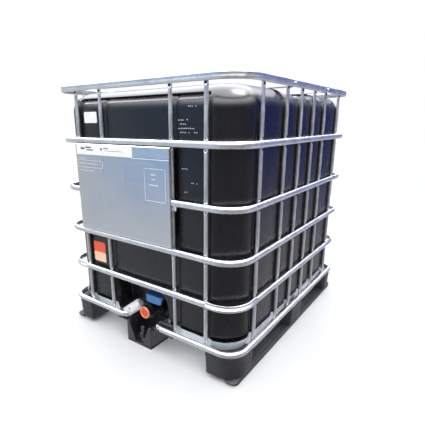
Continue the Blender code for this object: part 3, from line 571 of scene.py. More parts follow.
UPRIGHT_TURNS = {"front": (-90, 4), "back": (90, 4), "right": (0, 6), "left": (180, 6)}


def upright_places(side):
    """(node, place) of each upright on a side, turned so that the upright's +X looks outward."""
    turn, count = UPRIGHT_TURNS[side]
    for number in range(1, count + 1):
        node = f"upright_{side}_{number}"
        spot = middle(node)
        yield node, Matrix.Translation((spot.x, spot.y, 0)) @ Matrix.Rotation(math.radians(turn), 4, "Z")


def build_upright_holes():
    """Painted shade: dark discs in the shadowed bolt holes of the flattened tops and in the small punch marks
    beside each crossing.
    """
    rim_low = box("top_rim")[0].z
    marks = []
    for centre in HOOP_LEVELS:
        for way in (-1, 1):
            marks.append((centre + way * PUNCH_DISTANCE, 0.0026, 0.0034, UPRIGHT_RADIUS - 0.0022))
    marks.append((rim_low - 0.0048, 0.0042, 0.0046, UPRIGHT_RADIUS * 0.78 - 0.0006))
    angles = [math.pi * step / 8 for step in range(16)]
    for side in UPRIGHT_TURNS:
        shapes = []
        for _, place in upright_places(side):
            for z, half_width, half_height, out in marks:
                rim = [(half_width * math.cos(a), z + half_height * math.sin(a)) for a in angles]
                depths = (out - 0.002, out + 0.0005)
                shapes.append(loft([[place @ Vector((depth, *point)) for point in rim] for depth in depths]))
        add(f"upright_{side}_holes", joined(*shapes), "hole", "galvanised_tube")


def build_cage():
    horizontal_tube("top_rim", "rim", RIM_DEPTH)
    for node in HOOPS:
        horizontal_tube(node, node, HOOP_DEPTH)
    horizontal_tube("base_ring", "base", BASE_DEPTH, open_at_front)
    shape = upright_shape()
    for side in UPRIGHT_TURNS:
        for node, place in upright_places(side):
            add(f"{node}_tube", placed(shape, place), "tube", "galvanised_tube", node)
    build_upright_holes()
    lap = middle("upright_right_4").y - 0.105
    centre_z = middle("base_ring").z
    for side, sign in (("right", 1), ("left", -1)):
        # A crimped sleeve covers the joint in each side of the base ring.
        rings = []
        for count in range(13):
            t = count / 12
            bulge = math.sin(math.pi * t) ** 0.5
            section = oval(0.0196 - 0.002 + 0.002 * bulge, size("base_ring").z + 0.005 * bulge, 24, 0.8)
            y = lap + (t - 0.5) * 0.05
            x = sign * (HALF_WIDTH - BASE_DEPTH / 2)
            rings.append([Vector((x + out, y, centre_z + up)) for out, up in section])
        add(f"base_ring_sleeve_{side}", flipped(loft(rings)), "tube", "galvanised_tube")


def build_crossbars():
    for node in ("crossbar_front", "crossbar_back"):
        low, high = box(node)
        thick = 0.004
        profile = [
            (low.x, low.z), (high.x, low.z), (high.x, high.z), (high.x - thick, high.z),
            (high.x - thick, low.z + thick), (low.x + thick, low.z + thick),
            (low.x + thick, high.z), (low.x, high.z),
        ]
        strip = prism(profile, low.y, high.y)
        centre = (low.y + high.y) / 2
        rib = []
        for count in range(41):
            t = count / 40
            x = low.x + 0.03 + (high.x - low.x - 0.06) * t
            rise = 0.0025 * min(1, 12 * min(t, 1 - t) + 0.2)
            rib.append([
                Vector((x, centre + 0.007 * math.cos(a), low.z + thick - 0.0005 + rise * math.sin(a)))
                for a in [math.pi * k / 6 for k in range(7)]
            ])
        # The strips take the darkened bar zinc, a painted shade.
        add(f"{node}_strip", joined(strip, flipped(loft(rib))), "bar", "galvanised_bar", node, soft=0.0008)


def build_plate():
    """The data plate: a thin, slightly wavy sheet with folded edges and lightly pressed frames."""
    low, high = box("data_plate")
    front, sheet = low.y, 0.0012
    press_depth, press_width, wave_depth, wave_scale = 0.0007, 0.006, 0.0004, 6
    columns, rows = 84, 60
    frames = ((0.055, 0.17, 0.055, 0.12), (0.30, 0.47, 0.06, 0.14))
    vertices, faces = [], []
    for row in range(rows + 1):
        for column in range(columns + 1):
            u = column / columns
            v = row / rows
            x = low.x + (high.x - low.x) * u
            z = low.z + (high.z - low.z) * v
            across, down = u * (high.x - low.x), (1 - v) * (high.z - low.z)
            press = 0.0
            for x0, x1, z0, z1 in frames:
                edge = max(x0 - across, across - x1, z0 - down, down - z1)
                press = max(press, bell(edge, press_width))
            ripple = wave_depth * noise.noise(Vector((x * wave_scale, 0.0, z * wave_scale)))
            vertices.append(Vector((x, front + 0.0009 - press_depth * press + ripple, z)))
    for row in range(rows):
        for column in range(columns):
            a = row * (columns + 1) + column
            faces.append((a, a + 1, a + columns + 2, a + columns + 1))
    made = piece("data_plate_sheet", vertices, faces, MATERIALS["plate"], 40)
    solid = made.modifiers.new("sheet", "SOLIDIFY")
    solid.thickness = sheet * 0.5
    solid.offset = -1
    stand_for(made, ROOT, "data_plate_sheet", "data_plate")
    hoop_low, hoop_high = box("hoop_2")
    for name, edge in (("right", high.x), ("left", low.x)):
        inner = edge - math.copysign(sheet, edge)
        parts = []
        for z0, z1 in ((low.z, hoop_low.z - 0.001), (hoop_high.z + 0.001, high.z)):
            x0, x1 = sorted((edge, inner))
            parts.append(block((x0, front + 0.0012, z0), (x1, high.y, z1)))
        add(f"data_plate_fold_{name}", joined(*parts), "tube", "galvanised_tube", soft=0.0004)
    return low, high


def sticker(name, low_x, high_x, low_z, high_z, y, material, slot="data_plate_sheet"):
    """A thin blank strip with rounded corners, lying on a front face."""
    radius = min(high_x - low_x, high_z - low_z) * 0.12
    outline = rounded_box((low_x, low_z), (high_x, high_z), [radius] * 4, 4)
    add(name, prism(outline, y - 0.00022, y), material, slot)


def outline_bars(x0, x1, z0, z1, near, far, width=0.0016):
    """Four thin bars round a rectangle on a front face."""
    return [
        block((x0, near, z1 - width), (x1, far, z1)), block((x0, near, z0), (x1, far, z0 + width)),
        block((x0, near, z0), (x0 + width, far, z1)), block((x1 - width, near, z0), (x1, far, z1)),
    ]


def build_plate_labels(low, high):
    """Strips along the plate's top with plain bars for print, faint pressed frames and a small hook."""
    face = low.y + 0.0008
    top = high.z - 0.004
    split = low.x + 0.355
    sticker("plate_strip_white", low.x + 0.006, split, top - 0.042, top, face, "white")
    sticker("plate_strip_blue", split + 0.001, high.x - 0.003, top - 0.038, top - 0.001, face, "blue_strip")
    bars = ((0.035, 0.062, 0.012, 0.020), (0.068, 0.105, 0.008, 0.014), (0.074, 0.118, 0.019, 0.024),
            (0.165, 0.178, 0.012, 0.020), (0.186, 0.215, 0.010, 0.014), (0.190, 0.300, 0.021, 0.0225))
    near, far = face - 0.0005, face - 0.0002
    shapes = [block((low.x + x0, near, top - d1), (low.x + x1, far, top - d0)) for x0, x1, d0, d1 in bars]
    add("plate_strip_bars", joined(*shapes), "ink", "data_plate_sheet")
    near, far = low.y + 0.0003, low.y + 0.0008
    pressed = [block((split - 0.004, near, top - 0.045), (high.x - 0.003, far, top - 0.0425))]
    pressed += outline_bars(high.x - 0.130, high.x - 0.022, top - 0.205, top - 0.078, near, far)
    for x0, x1, d in ((0.096, 0.070, 0.100), (0.092, 0.074, 0.118), (0.104, 0.060, 0.140)):
        pressed.append(block((high.x - x0, near, top - d - 0.0025), (high.x - x1, far, top - d)))
    pressed += outline_bars(low.x + 0.010, low.x + 0.175, top - 0.098, top - 0.066, near, far, 0.0012)
    for x0, x1, d in ((0.014, 0.070, 0.058), (0.014, 0.150, 0.080), (0.014, 0.120, 0.110)):
        pressed.append(block((low.x + x0, near, top - d - 0.0015), (low.x + x1, far, top - d)))
    add("plate_pressed_frames", joined(*pressed), "sheet", "data_plate_sheet")
    hoop_low = box("hoop_2")[0]
    y = low.y + 0.008
    left, right, bottom = high.x + 0.004, high.x + 0.022, hoop_low.z - 0.016
    hook = [block((left, y, bottom), (right, y + 0.002, hoop_low.z + 0.001)),
            block((left, y - 0.005, bottom), (left + 0.005, y, hoop_low.z - 0.006)),
            block((right - 0.005, y - 0.005, bottom), (right, y, hoop_low.z - 0.010))]
    add("plate_hook", joined(*hook), "tube", "galvanised_tube", soft=0.0008)


# ---------------------------------------------------------------- bottle
BOTTLE_LOW, BOTTLE_HIGH = box("bottle")
BOTTLE_TOP = BOTTLE_HIGH.z
BOTTLE_CORNER = 0.125
BASE_CORNER = 0.150
BASE_STEP, BASE_STEP_LEVEL = 0.010, 0.166
CORNER_SHRINK = 0.6
BOTTOM_RADIUS = 0.045
SHOULDER_RADIUS = 0.085
VALLEY_HALF, VALLEY_DEPTH = 0.178, 0.0222
BASIN_HALF, BASIN_DEPTH = 0.150, 0.0482
NECK_RADIUS, NECK_BORE = 0.078, 0.070
NECK_TOP = box("fill_cap_gasket")[0].z - 0.0003
RECESS_LEFT, RECESS_RIGHT, RECESS_TOP, RECESS_ARC = -0.185, 0.135, 0.300, 0.090
RECESS_BACK = 0.470
SPOUT_RADIUS, SPOUT_BORE, SPOUT_START, SPOUT_END = 0.034, 0.0215, 0.462, 0.494
WALL_RISE = (BOTTLE_LOW.z + 0.02, BOTTLE_LOW.z + 0.07)
SIDE_GROOVE, SIDE_SWELL = 0.013, 0.0035
LEDGE_DEPTH, FRONT_GROOVE, FRONT_PANEL, FRONT_SWELL = 0.011, 0.003, 0.0065, 0.0025
FIRST_BAY = -0.40
LEDGE_DROP = 0.029
LEDGE_REACH = 0.362


def recess_amount(x, z):
    """How far a place on the front wall is inside the valve recess, 0 to 1, with soft sides."""
    centre_x = RECESS_RIGHT - RECESS_ARC
    centre_z = RECESS_TOP - RECESS_ARC
    if x > centre_x and z > centre_z:
        outside = math.hypot(x - centre_x, z - centre_z) - RECESS_ARC
    else:
        outside = max(x - RECESS_RIGHT, RECESS_LEFT - x, z - RECESS_TOP)
    return smoothstep(0.010, -0.012, outside)


def groove_amount(along, stops):
    """1 in the middle of a groove behind an upright."""
    half_width = 0.021
    return max(smoothstep(half_width, half_width * 0.35, abs(along - at)) for at in stops)


def panel_arch(along, stops):
    """A low arch between two uprights, 0 at each upright and outside them."""
    for left, right in zip(stops, stops[1:]):
        if left < along < right:
            return math.sin(math.pi * (along - left) / (right - left)) ** 0.8
    return 0.0


def side_offset(y, z):
    """Outward change of a side wall: a groove behind each upright and a swell between them.

    The foremost groove runs out below the shoulder, so that the front corner stays smooth.
    """
    rise = smoothstep(*WALL_RISE, z)
    fade = smoothstep(BOTTLE_TOP - 0.010, BOTTLE_TOP - 0.050, z)
    shallow = smoothstep(BOTTLE_TOP - 0.025, BOTTLE_TOP - 0.150, z) if y < FIRST_BAY else 1.0
    groove = SIDE_GROOVE * shallow * groove_amount(y, SIDE_UPRIGHTS)
    return rise * (fade * SIDE_SWELL * panel_arch(y, SIDE_UPRIGHTS) - groove)


def front_offset(x, z):
    """Outward change of the front or back wall: a ledge under the shoulder, and panels below it."""
    rise = smoothstep(*WALL_RISE, z)
    ledge = BOTTLE_TOP - LEDGE_DROP
    under = smoothstep(ledge + 0.002, ledge - 0.002, z)
    under *= smoothstep(LEDGE_REACH + 0.012, LEDGE_REACH - 0.010, abs(x))
    groove = groove_amount(x, FRONT_UPRIGHTS)
    panel = smoothstep(ledge - 0.008, ledge - 0.022, z) * (1 - groove)
    swell = FRONT_SWELL * panel_arch(x, FRONT_UPRIGHTS)
    return rise * under * (-LEDGE_DEPTH - FRONT_GROOVE * groove + (FRONT_PANEL + swell) * panel)


def base_lip(z):
    """A moulded bead round the bottle just above the tray wall."""
    return 0.003 * bell(z - (BASE_STEP_LEVEL + 0.014), 0.006)


def wall_offset(x, y, normal, z):
    if abs(normal.x) > 0.999:
        return side_offset(y, z) + base_lip(z)
    if abs(normal.y) > 0.999:
        return front_offset(x, z) + base_lip(z)
    return base_lip(z)


def top_limit(x, y):
    """The height of the bottle's top: a valley from side to side and a basin round the neck."""
    valley = VALLEY_DEPTH * smoothstep(VALLEY_HALF + 0.020, VALLEY_HALF - 0.010, abs(y))
    away = math.hypot(x, y) * 0.4 + max(abs(x), abs(y)) * 0.6
    basin = smoothstep(BASIN_HALF + 0.010, BASIN_HALF - 0.026, away)
    return BOTTLE_TOP - max(valley, BASIN_DEPTH * basin)


def outline_columns():
    """Places round the bottle: (corner signs, normal, next corner signs, fraction along the straight)."""
    columns = []
    for quarter, signs in enumerate(CORNERS):
        for step in range(19):
            angle = math.pi / 2 * (quarter + step / 18)
            columns.append((signs, Vector((math.cos(angle), math.sin(angle))), signs, 0.0))
        angle = math.pi / 2 * (quarter + 1)
        normal = Vector((round(math.cos(angle)), round(math.sin(angle))))
        steps = 180 if quarter % 2 else 140
        for step in range(1, steps):
            columns.append((signs, normal, CORNERS[(quarter + 1) % 4], step / steps))
    return columns


def column_spot(column, half, radius):
    signs, normal, next_signs, fraction = column
    start = Vector((signs[0] * (half[0] - radius), signs[1] * (half[1] - radius)))
    end = Vector((next_signs[0] * (half[0] - radius), next_signs[1] * (half[1] - radius)))
    return start.lerp(end, fraction) + normal * radius


def bottle_rows():
    """(z, inset, corner radius) from the underside up to the shoulder's top edge."""
    rows = [(BOTTLE_LOW.z + 0.004, 0.20, 0.05), (BOTTLE_LOW.z + 0.002, 0.10, 0.09)]
    for step in range(9):
        angle = math.pi / 2 * step / 8
        inset = BOTTOM_RADIUS * (1 - math.sin(angle))
        z = BOTTLE_LOW.z + BOTTOM_RADIUS * (1 - math.cos(angle))
        rows.append((z, BASE_STEP + inset, BASE_CORNER - inset * CORNER_SHRINK))
    z = rows[-1][0] + 0.004
    top = BOTTLE_TOP - SHOULDER_RADIUS
    while z < top - 0.004:
        rise = smoothstep(BASE_STEP_LEVEL, BASE_STEP_LEVEL + BASE_STEP, z)
        corner = BASE_CORNER + (BOTTLE_CORNER - BASE_CORNER) * rise
        rows.append((z, BASE_STEP * (1 - rise), corner))
        z += 0.0025 if z < 0.19 else 0.0045 if z < 0.33 or z > top - 0.05 else 0.014
    for step in range(35):
        angle = math.pi / 2 * step / 34
        inset = SHOULDER_RADIUS * (1 - math.cos(angle))
        rows.append((top + SHOULDER_RADIUS * math.sin(angle), inset, BOTTLE_CORNER - inset * CORNER_SHRINK))
    return rows


def build_bottle():
    columns = outline_columns()
    rings = []
    for z, inset, radius in bottle_rows():
        half = (BOTTLE_HIGH.x - inset, BOTTLE_HIGH.y - inset)
        ring = []
        for column in columns:
            normal = column[1]
            spot = column_spot(column, half, radius)
            spot = spot + normal * wall_offset(spot.x, spot.y, normal, z)
            if normal.y < -0.999:
                spot.y += (-RECESS_BACK - spot.y) * recess_amount(spot.x, z)
            ring.append(Vector((spot.x, spot.y, min(z, top_limit(spot.x, spot.y)))))
        rings.append(ring)
    edge = rings[-1]
    directions = [Vector((point.x, point.y)).normalized() for point in edge]
    for step in range(1, 31):
        ring = []
        for point, direction in zip(edge, directions):
            flat = Vector((point.x, point.y)).lerp(direction * (NECK_RADIUS + 0.008), step / 30)
            ring.append(Vector((flat.x, flat.y, top_limit(flat.x, flat.y))))
        rings.append(ring)
    floor = BOTTLE_TOP - BASIN_DEPTH
    neck = ((NECK_RADIUS + 0.002, floor), (NECK_RADIUS, floor + 0.003), (NECK_RADIUS, NECK_TOP - 0.002),
            (NECK_RADIUS - 0.002, NECK_TOP), (NECK_BORE + 0.002, NECK_TOP), (NECK_BORE, NECK_TOP - 0.002),
            (NECK_BORE, floor - 0.03))
    for radius, z in neck:
        rings.append([Vector((d.x * radius, d.y * radius, z)) for d in directions])
    add("bottle_shell", loft(rings), "bottle", "black_polyethylene", "bottle", angle=60)
    spout = turned([(SPOUT_RADIUS, SPOUT_START), (SPOUT_RADIUS, SPOUT_END),
                    (SPOUT_BORE, SPOUT_END), (SPOUT_BORE, SPOUT_START)])
    add("bottle_spout", placed(spout, OUTLET), "bottle", "black_polyethylene")


def build_bottle_labels():
    """Blank stickers on the front wall, and a field of small pale moulded flecks without any lettering."""
    face = BOTTLE_LOW.y + 0.0015
    labels = (("white", -0.315, -0.231, 0.991, 1.037), ("red", -0.321, -0.239, 0.398, 0.448),
              ("cream", -0.321, -0.239, 0.350, 0.397))
    for colour, *edges in labels:
        sticker(f"bottle_label_{colour}", *edges, face, colour, "black_polyethylene")
    flecks = []
    rows = ((1.044, 0.262, 0.300), (0.998, 0.214, 0.262), (0.984, 0.214, 0.250), (0.969, 0.214, 0.290),
            (0.955, 0.214, 0.300), (0.826, 0.228, 0.258), (0.776, 0.262, 0.300), (0.740, 0.240, 0.262))
    for number, (z, start, end) in enumerate(rows):
        x = start
        while x < end:
            seed = noise.noise(Vector((x * 97, z * 53, 1.7)))
            wide = 0.0028 + 0.0022 * abs(seed)
            if seed > -0.25:
                lift = 0.002 * seed
                low_z = z + lift
                flecks.append(block((x, face - 0.0006, low_z), (x + wide, face + 0.0030, low_z + 0.0034)))
            x += wide + 0.0040 + 0.0030 * abs(seed)
    add("bottle_flecks", joined(*flecks), "fleck", "black_polyethylene")


# ---------------------------------------------------------------- closures and valve
def build_closures():
    low, high = box("fill_cap")
    radius = (high.x - low.x) / 2

    def grip(angle, r, z):
        return -0.0016 * wave(angle, 40) if r > radius - 0.0035 and z < high.z - 0.002 else 0.0

    bore = 0.0283
    deck = high.z - 0.0105
    profile = [
        (radius, low.z), (radius, low.z + 0.012), (radius, high.z - 0.004), (radius - 0.004, high.z - 0.0005),
        (radius - 0.010, high.z), (radius - 0.014, high.z - 0.0005), (radius - 0.018, high.z - 0.004),
        (bore + 0.014, high.z - 0.004), (bore + 0.010, high.z), (bore, high.z), (bore, deck),
        (NECK_RADIUS + 0.0004, deck), (NECK_RADIUS + 0.0004, low.z),
    ]
    add("fill_cap_ribbed", turned(profile, 240, grip), "cap", "black_closure", "fill_cap", body="fill_cap")
    low, high = box("vent_plug")
    outer = (high.x - low.x) / 2

    def lobes(angle, r, z):
        return -0.003 * wave(angle, 8) if r > 0.030 and z > low.z + 0.02 else 0.0

    profile = [
        (0.025, low.z), (0.0275, low.z + 0.004), (0.0275, high.z - 0.0102), (outer, high.z - 0.0098),
        (outer, high.z - 0.003), (outer - 0.003, high.z - 0.001), (0.018, high.z - 0.001),
        (0.016, high.z - 0.004), (0.006, high.z - 0.004),
    ]
    lobed = turned_solid(profile, 96, lobes)
    add("vent_plug_lobed", lobed, "vent", "red_closure", "vent_plug", body="vent_plug")
    handle = block((-0.026, -0.0035, high.z - 0.0045), (0.026, 0.0035, high.z))
    add("vent_plug_bar", handle, "vent", "red_closure", body="vent_plug", soft=0.001)


def build_valve():
    low, high = box("outlet_nut")

    def nut_ribs(angle, r, z):
        return -0.0022 * (0.5 + 0.5 * math.copysign(1, math.cos(angle * 18))) if r > 0.042 else 0.0

    back, front = -high.y, -low.y
    profile = [
        (0.0440, back), (0.0460, back + 0.002), (0.0460, front - 0.005), (0.0425, front),
        (0.0345, front), (0.0345, back),
    ]
    ribbed = placed(turned(profile, 144, nut_ribs), OUTLET)
    add("outlet_nut_ribbed", ribbed, "valve", "valve_plastic", "outlet_nut", soft=0.0006)

    low, high = box("valve_body")
    back, front = -high.y, -low.y
    thread_back, turns, pitch = 0.5430, 5, 0.0032
    flange, barrel, root, crest, bore = 0.036, 0.0345, 0.0240, 0.0252, 0.0218
    profile = [(flange, back), (flange, back + 0.006), (barrel, back + 0.008), (barrel, thread_back - 0.007),
               (flange, thread_back - 0.005), (flange, thread_back), (root, thread_back)]
    for count in range(turns):
        z = thread_back + 0.001 + count * pitch
        profile += [(root, z), (crest, z + pitch / 4), (crest, z + pitch / 2), (root, z + pitch * 3 / 4)]
    profile += [(root, front), (bore, front), (bore, back)]
    pipe = placed(turned(profile, 96), OUTLET)
    stem = middle("valve_stem")
    boss_top = high.z
    boss_low = VALVE_AXIS + 0.026
    boss = turned([(0.015, boss_low), (0.013, boss_top - 0.008), (0.013, boss_top), (0.0056, boss_top),
                   (0.0056, boss_low)], 48)
    boss = placed(boss, Matrix.Translation((stem.x, stem.y, 0)))
    webs = []
    for angle in (20, 160, 200, 340):
        turn = OUTLET @ Matrix.Rotation(math.radians(angle), 4, "Z")
        webs.append(placed(block((0.030, -0.002, back + 0.004), (0.0358, 0.002, thread_back - 0.002)), turn))
    add("valve_body_moulding", joined(pipe, boss, *webs), "valve", "valve_plastic", "valve_body")

    low, high = box("outlet_cap")
    back, front = -high.y, -low.y
    radius = (high.x - low.x) / 2

    def cap_ribs(angle, r, z):
        return -0.0014 * wave(angle, 28) if r > radius - 0.001 and z < front - 0.004 else 0.0

    split = front - 0.0060
    skirt = [(radius, back), (radius, split), (0.0256, split), (0.0256, back)]
    ribbed = placed(turned(skirt, 168, cap_ribs), OUTLET)
    add("outlet_cap_skirt", ribbed, "valve", "valve_plastic", "outlet_cap", body="outlet_cap")
    rim = [
        (radius - 0.0012, split), (radius - 0.0012, front - 0.0025), (radius - 0.0030, front),
        (radius - 0.0055, front), (radius - 0.0070, front - 0.0012), (radius - 0.0080, front - 0.0050),
        (0.0180, front - 0.0057), (0.0180, split),
    ]
    add("outlet_cap_rim", placed(turned(rim, 96), OUTLET), "orange", "orange_closure", body="outlet_cap")
    dome = turned_solid([(radius - 0.0070, front - 0.0055), (radius - 0.0076, front - 0.0040),
                         (0.016, front - 0.0034), (0.007, front - 0.0030)], 64)
    add("outlet_cap_centre", placed(dome, OUTLET), "orange_centre", "orange_closure", body="outlet_cap")


def build_lever():
    """A channel-shaped handle on a round hub, pointing to +X when the valve is shut."""
    low, high = box("valve_lever")
    stem = middle("valve_stem")
    reach, y0, y1 = high.x, low.y, high.y
    plate = 0.006
    plan = [
        (low.x + 0.004, y0 + 0.006), (low.x + 0.012, y0), (reach - 0.008, y0), (reach, y0 + 0.008),
        (reach, y0 + 0.022), (reach - 0.010, y0 + 0.030), (0.022, y1 - 0.004), (0.010, y1), (-0.012, y1),
        (low.x, y1 - 0.012),
    ]
    top = slab(plan, high.z - plate, high.z)
    face = [(low.x + 0.006, low.z + 0.004), (low.x + 0.014, low.z), (reach - 0.016, low.z),
            (reach - 0.004, low.z + 0.010), (reach - 0.004, high.z - 0.001), (low.x + 0.006, high.z - 0.001)]
    front = prism(face, y0 + 0.0004, y0 + 0.005)
    back_rib = block((0.020, y0 + 0.020, low.z + 0.012), (reach - 0.012, y0 + 0.024, high.z - 0.002))
    hub = turned([(0.0125, low.z), (0.0125, high.z - 0.002), (0.0056, high.z - 0.002), (0.0056, low.z)], 48)
    hub = placed(hub, Matrix.Translation((stem.x, stem.y, 0)))
    handle = joined(top, front, back_rib, hub)
    add("valve_lever_handle", handle, "lever", "blue_handle", "valve_lever", body="valve_handle", soft=0.0016,
        segments=3)


def build_adapter():
    """The light sleeve beside the valve, with a closed round inner end and a collar at the outer end."""
    inner = Vector((-0.0650, -0.5200, 0.1755))
    outer = Vector((-0.1310, -0.5530, 0.1210))
    axis = outer - inner
    length = axis.length
    place = aimed(inner, axis.normalized())
    radius, bore, hole = 0.0250, 0.0205, 0.009
    profile = [(hole, 0.0)]
    for step in range(7):
        angle = math.pi / 2 * step / 6
        profile.append((radius - 0.010 + 0.010 * math.sin(angle), 0.010 - 0.010 * math.cos(angle)))
    profile += [(radius, 0.026), (radius - 0.001, 0.027), (radius - 0.001, 0.029), (radius, 0.030),
                (radius, length - 0.010), (radius - 0.0012, length - 0.009), (radius - 0.0012, length - 0.006),
                (radius, length - 0.005), (radius, length - 0.001), (radius - 0.001, length),
                (bore + 0.0005, length), (bore, length - 0.002), (bore, 0.012), (hole, 0.010)]
    add("hose_adapter_sleeve", placed(turned(profile, 96), place), "adapter", "light_adapter", "hose_adapter")
    # A dark button on the side that faces forward and up.
    facing = Vector((0.35, -0.75, 0.55))
    across = (facing - facing.project(axis)).normalized()
    button = turned_solid([(0.0070, 0.0), (0.0068, 0.0009), (0.0040, 0.0014)], 40)
    spot = aimed(inner + axis * 0.62 + across * (radius - 0.0014), across)
    add("hose_adapter_button", placed(button, spot), "adapter_mark", "light_adapter")


# ---------------------------------------------------------------- pallet
TRAY_CORNER = 0.140
SEAT_INSET = 0.040
FOOT_CORNER, FOOT_EDGE = 0.090, 0.014


def build_tray():
    """The pressed tray: a leaning wall with a rolled edge, dented at each upright, and a plain floor."""
    low, high = box("pallet_tray")
    floor_inset, top_inset = 0.048, 0.032
    sheet, edge, dent_depth, dent_width = 0.0016, 0.0018, 0.010, 0.026
    stations = outline_stations(HALF_WIDTH, HALF_LENGTH, TRAY_CORNER, 0.005, 18)
    rings = []
    levels = [(0.0, 0.0), (0.35, 0.0), (0.85, 0.0), (0.97, 0.0), (1.0, edge)]
    for x, y, nx, ny in stations:
        dent = dent_depth * bell(crossing_distance(x * 0.999, y * 0.999), dent_width)
        ring = []
        for thickness, side in ((0.0, levels), (sheet, reversed(levels))):
            for t, out in side:
                inset = floor_inset + (top_inset - floor_inset) * t + dent * t + thickness - out
                z = low.z + thickness + (high.z - low.z - thickness) * t
                ring.append(Vector((x - nx * inset, y - ny * inset, z)))
        rings.append(ring)
    wall = flipped(loft(without_gap(rings, -HALF_LENGTH + 0.06, 0.174, lambda ring: ring[0])))
    floor_half = (HALF_WIDTH - floor_inset - 0.001, HALF_LENGTH - floor_inset - 0.001)
    notch, notch_back = 0.175, -0.455
    outline = [s[:2] for s in outline_stations(*floor_half, TRAY_CORNER - 0.04, 0.05, 8)]
    floor_outline = [(notch, notch_back), (notch, -floor_half[1])] + without_gap(outline, -0.45, notch)
    floor_outline += [(-notch, -floor_half[1]), (-notch, notch_back)]
    floor = slab(floor_outline, low.z, low.z + edge)
    # The sheet's bluish tint is a painted reflection of blue light.
    add("pallet_tray_sheet", joined(wall, floor), "sheet", "galvanised_sheet", "pallet_tray")


def cut_away(made, cutter):
    """Takes the cutter's shape out of a piece, and removes the cutter."""
    boolean = made.modifiers.new("tray_seat", "BOOLEAN")
    boolean.operation = "DIFFERENCE"
    boolean.object = cutter
    boolean.solver = "EXACT"
    bpy.context.view_layer.update()
    graph = bpy.context.evaluated_depsgraph_get()
    mesh = bpy.data.meshes.new_from_object(made.evaluated_get(graph))
    made.modifiers.clear()
    made.data = mesh
    bpy.data.objects.remove(cutter)


def build_feet():
    """Each foot, with a wide radius at the pallet's own corner and a seat cut for the tray."""
    tray_low = box("pallet_tray")[0].z
    for node in sorted(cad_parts):
        if not node.startswith("foot_"):
            continue
        low, high = box(node)
        at_corner = "centre" not in node and "middle" not in node
        outward = (math.copysign(1, low.x + high.x), 1 if "back" in node else -1)
        radii = [FOOT_CORNER if at_corner and signs == outward else FOOT_EDGE for signs in CORNERS]
        rings = []
        levels = [(0.0, 0.0075), (0.003, 0.0045), (0.012, 0.0040), (0.60, 0.0020), (0.72, 0.0018),
                  (0.76, 0.0002), (0.95, 0.0), (1.0, 0.0015)]
        height = high.z - low.z
        for t, shrink in levels:
            z = low.z + (t if t in (0.003, 0.012) else t * height)
            corners = [max(radius - shrink * 0.5, 0.002) for radius in radii]
            inset = Vector((shrink, shrink, 0))
            rings.append([Vector((x, y, z)) for x, y in rounded_box(low + inset, high - inset, corners, 12)])
        made = piece(f"{node}_moulding", *loft(rings), MATERIALS["foot"], 40)
        seat = outline_stations(HALF_WIDTH - SEAT_INSET, HALF_LENGTH - SEAT_INSET, TRAY_CORNER, 0.2, 12)
        cutter_rings = [[Vector((s[0], s[1], z)) for s in seat] for z in (tray_low - GAP, tray_low + 0.05)]
        cutter = piece(f"{node}_cutter", *loft(cutter_rings), MATERIALS["foot"], 40)
        cut_away(made, cutter)
        stand_for(made, ROOT, "foot_plastic", node)


def build_runners():
    for node in ("runner_left", "runner_right"):
        low, high = box(node)
        middle_x = (low.x + high.x) / 2
        half = (high.x - low.x) / 2
        rings = []
        levels = ((0.0, 0.014, 0.002), (0.002, 0.011, 0.0), (0.011, 0.001, 0.0), (high.z - 0.002, 0.0, 0.0),
                  (high.z, 0.002, 0.002))
        for z, nose, side in levels:
            outline = outline_stations(half - side, high.y - nose, 0.020, 0.03, 8)
            rings.append([Vector((middle_x + s[0], s[1], z)) for s in outline])
        add(f"{node}_skid", loft(rings), "runner", "runner_plastic", node)


def build_guard():
    """The front centre foot: trough walls, a V-shaped front, a post with a knob and two wings."""
    low, high = box("valve_guard")
    left, right = -0.098, 0.050
    front, back = low.y, high.y
    wall = 0.006
    top = box("pallet_tray")[0].z - 0.0005
    parts = [
        block((left, front, 0.0), (right, back, 0.010)),
        block((left, front + 0.002, 0.0), (left + wall, back, top)),
        block((right - wall, front + 0.002, 0.0), (right, back, top)),
        block((left, back - wall, 0.0), (right, back, top)),
    ]
    for sign, edge in ((1, left), (-1, right)):
        reaches = ((0.0, 0.004), (0.050, 0.004), (0.044, 0.036), (0.012, top), (0.0, top))
        corner = [(edge + sign * reach, z) for reach, z in reaches][::sign]
        parts.append(prism(corner, front, front + 0.006))
    middle_x = (left + right) / 2 + 0.014
    parts.append(block((middle_x - 0.009, front + 0.010, 0.008), (middle_x + 0.009, front + 0.022, 0.094)))
    for offset in (-0.030, -0.015, 0.015, 0.030):
        x = middle_x + offset
        parts.append(block((x - 0.0015, front + 0.012, 0.008), (x + 0.0015, back - 0.01, 0.030)))
    add("valve_guard_trough", joined(*parts), "guard", "foot_plastic", "valve_guard", soft=0.0012)
    knob = turned_solid([(0.013, 0.0), (0.014, 0.002), (0.014, 0.006), (0.011, 0.009), (0.004, 0.010)], 40)
    place = Matrix.Translation((middle_x, front + 0.0105, 0.052)) @ Matrix.Rotation(math.radians(90), 4, "X")
    add("valve_guard_knob", placed(knob, place), "guard", "foot_plastic")
    wing = 0.1705
    wing_low, wing_high = 0.0945, 0.1595
    outline = [(right - 0.004, wing_low), (wing, wing_low), (wing, wing_high), (right + 0.048, wing_high)]
    parts = [prism(outline, front + 0.0125, front + 0.0165)]
    for count in range(8):
        x = right + 0.050 + count * 0.009
        low_corner = (x, front + 0.0122, wing_low + 0.002)
        parts.append(block(low_corner, (x + 0.0035, front + 0.0200, wing_high - 0.001)))
    parts.append(block((right + 0.046, front + 0.0122, wing_high - 0.004), (wing, front + 0.0215, wing_high)))
    parts.append(block((-wing, front + 0.012, 0.0908), (left + 0.010, front + 0.110, 0.0960)))
    add("valve_guard_wings", joined(*parts), "guard", "foot_plastic", soft=0.0008)


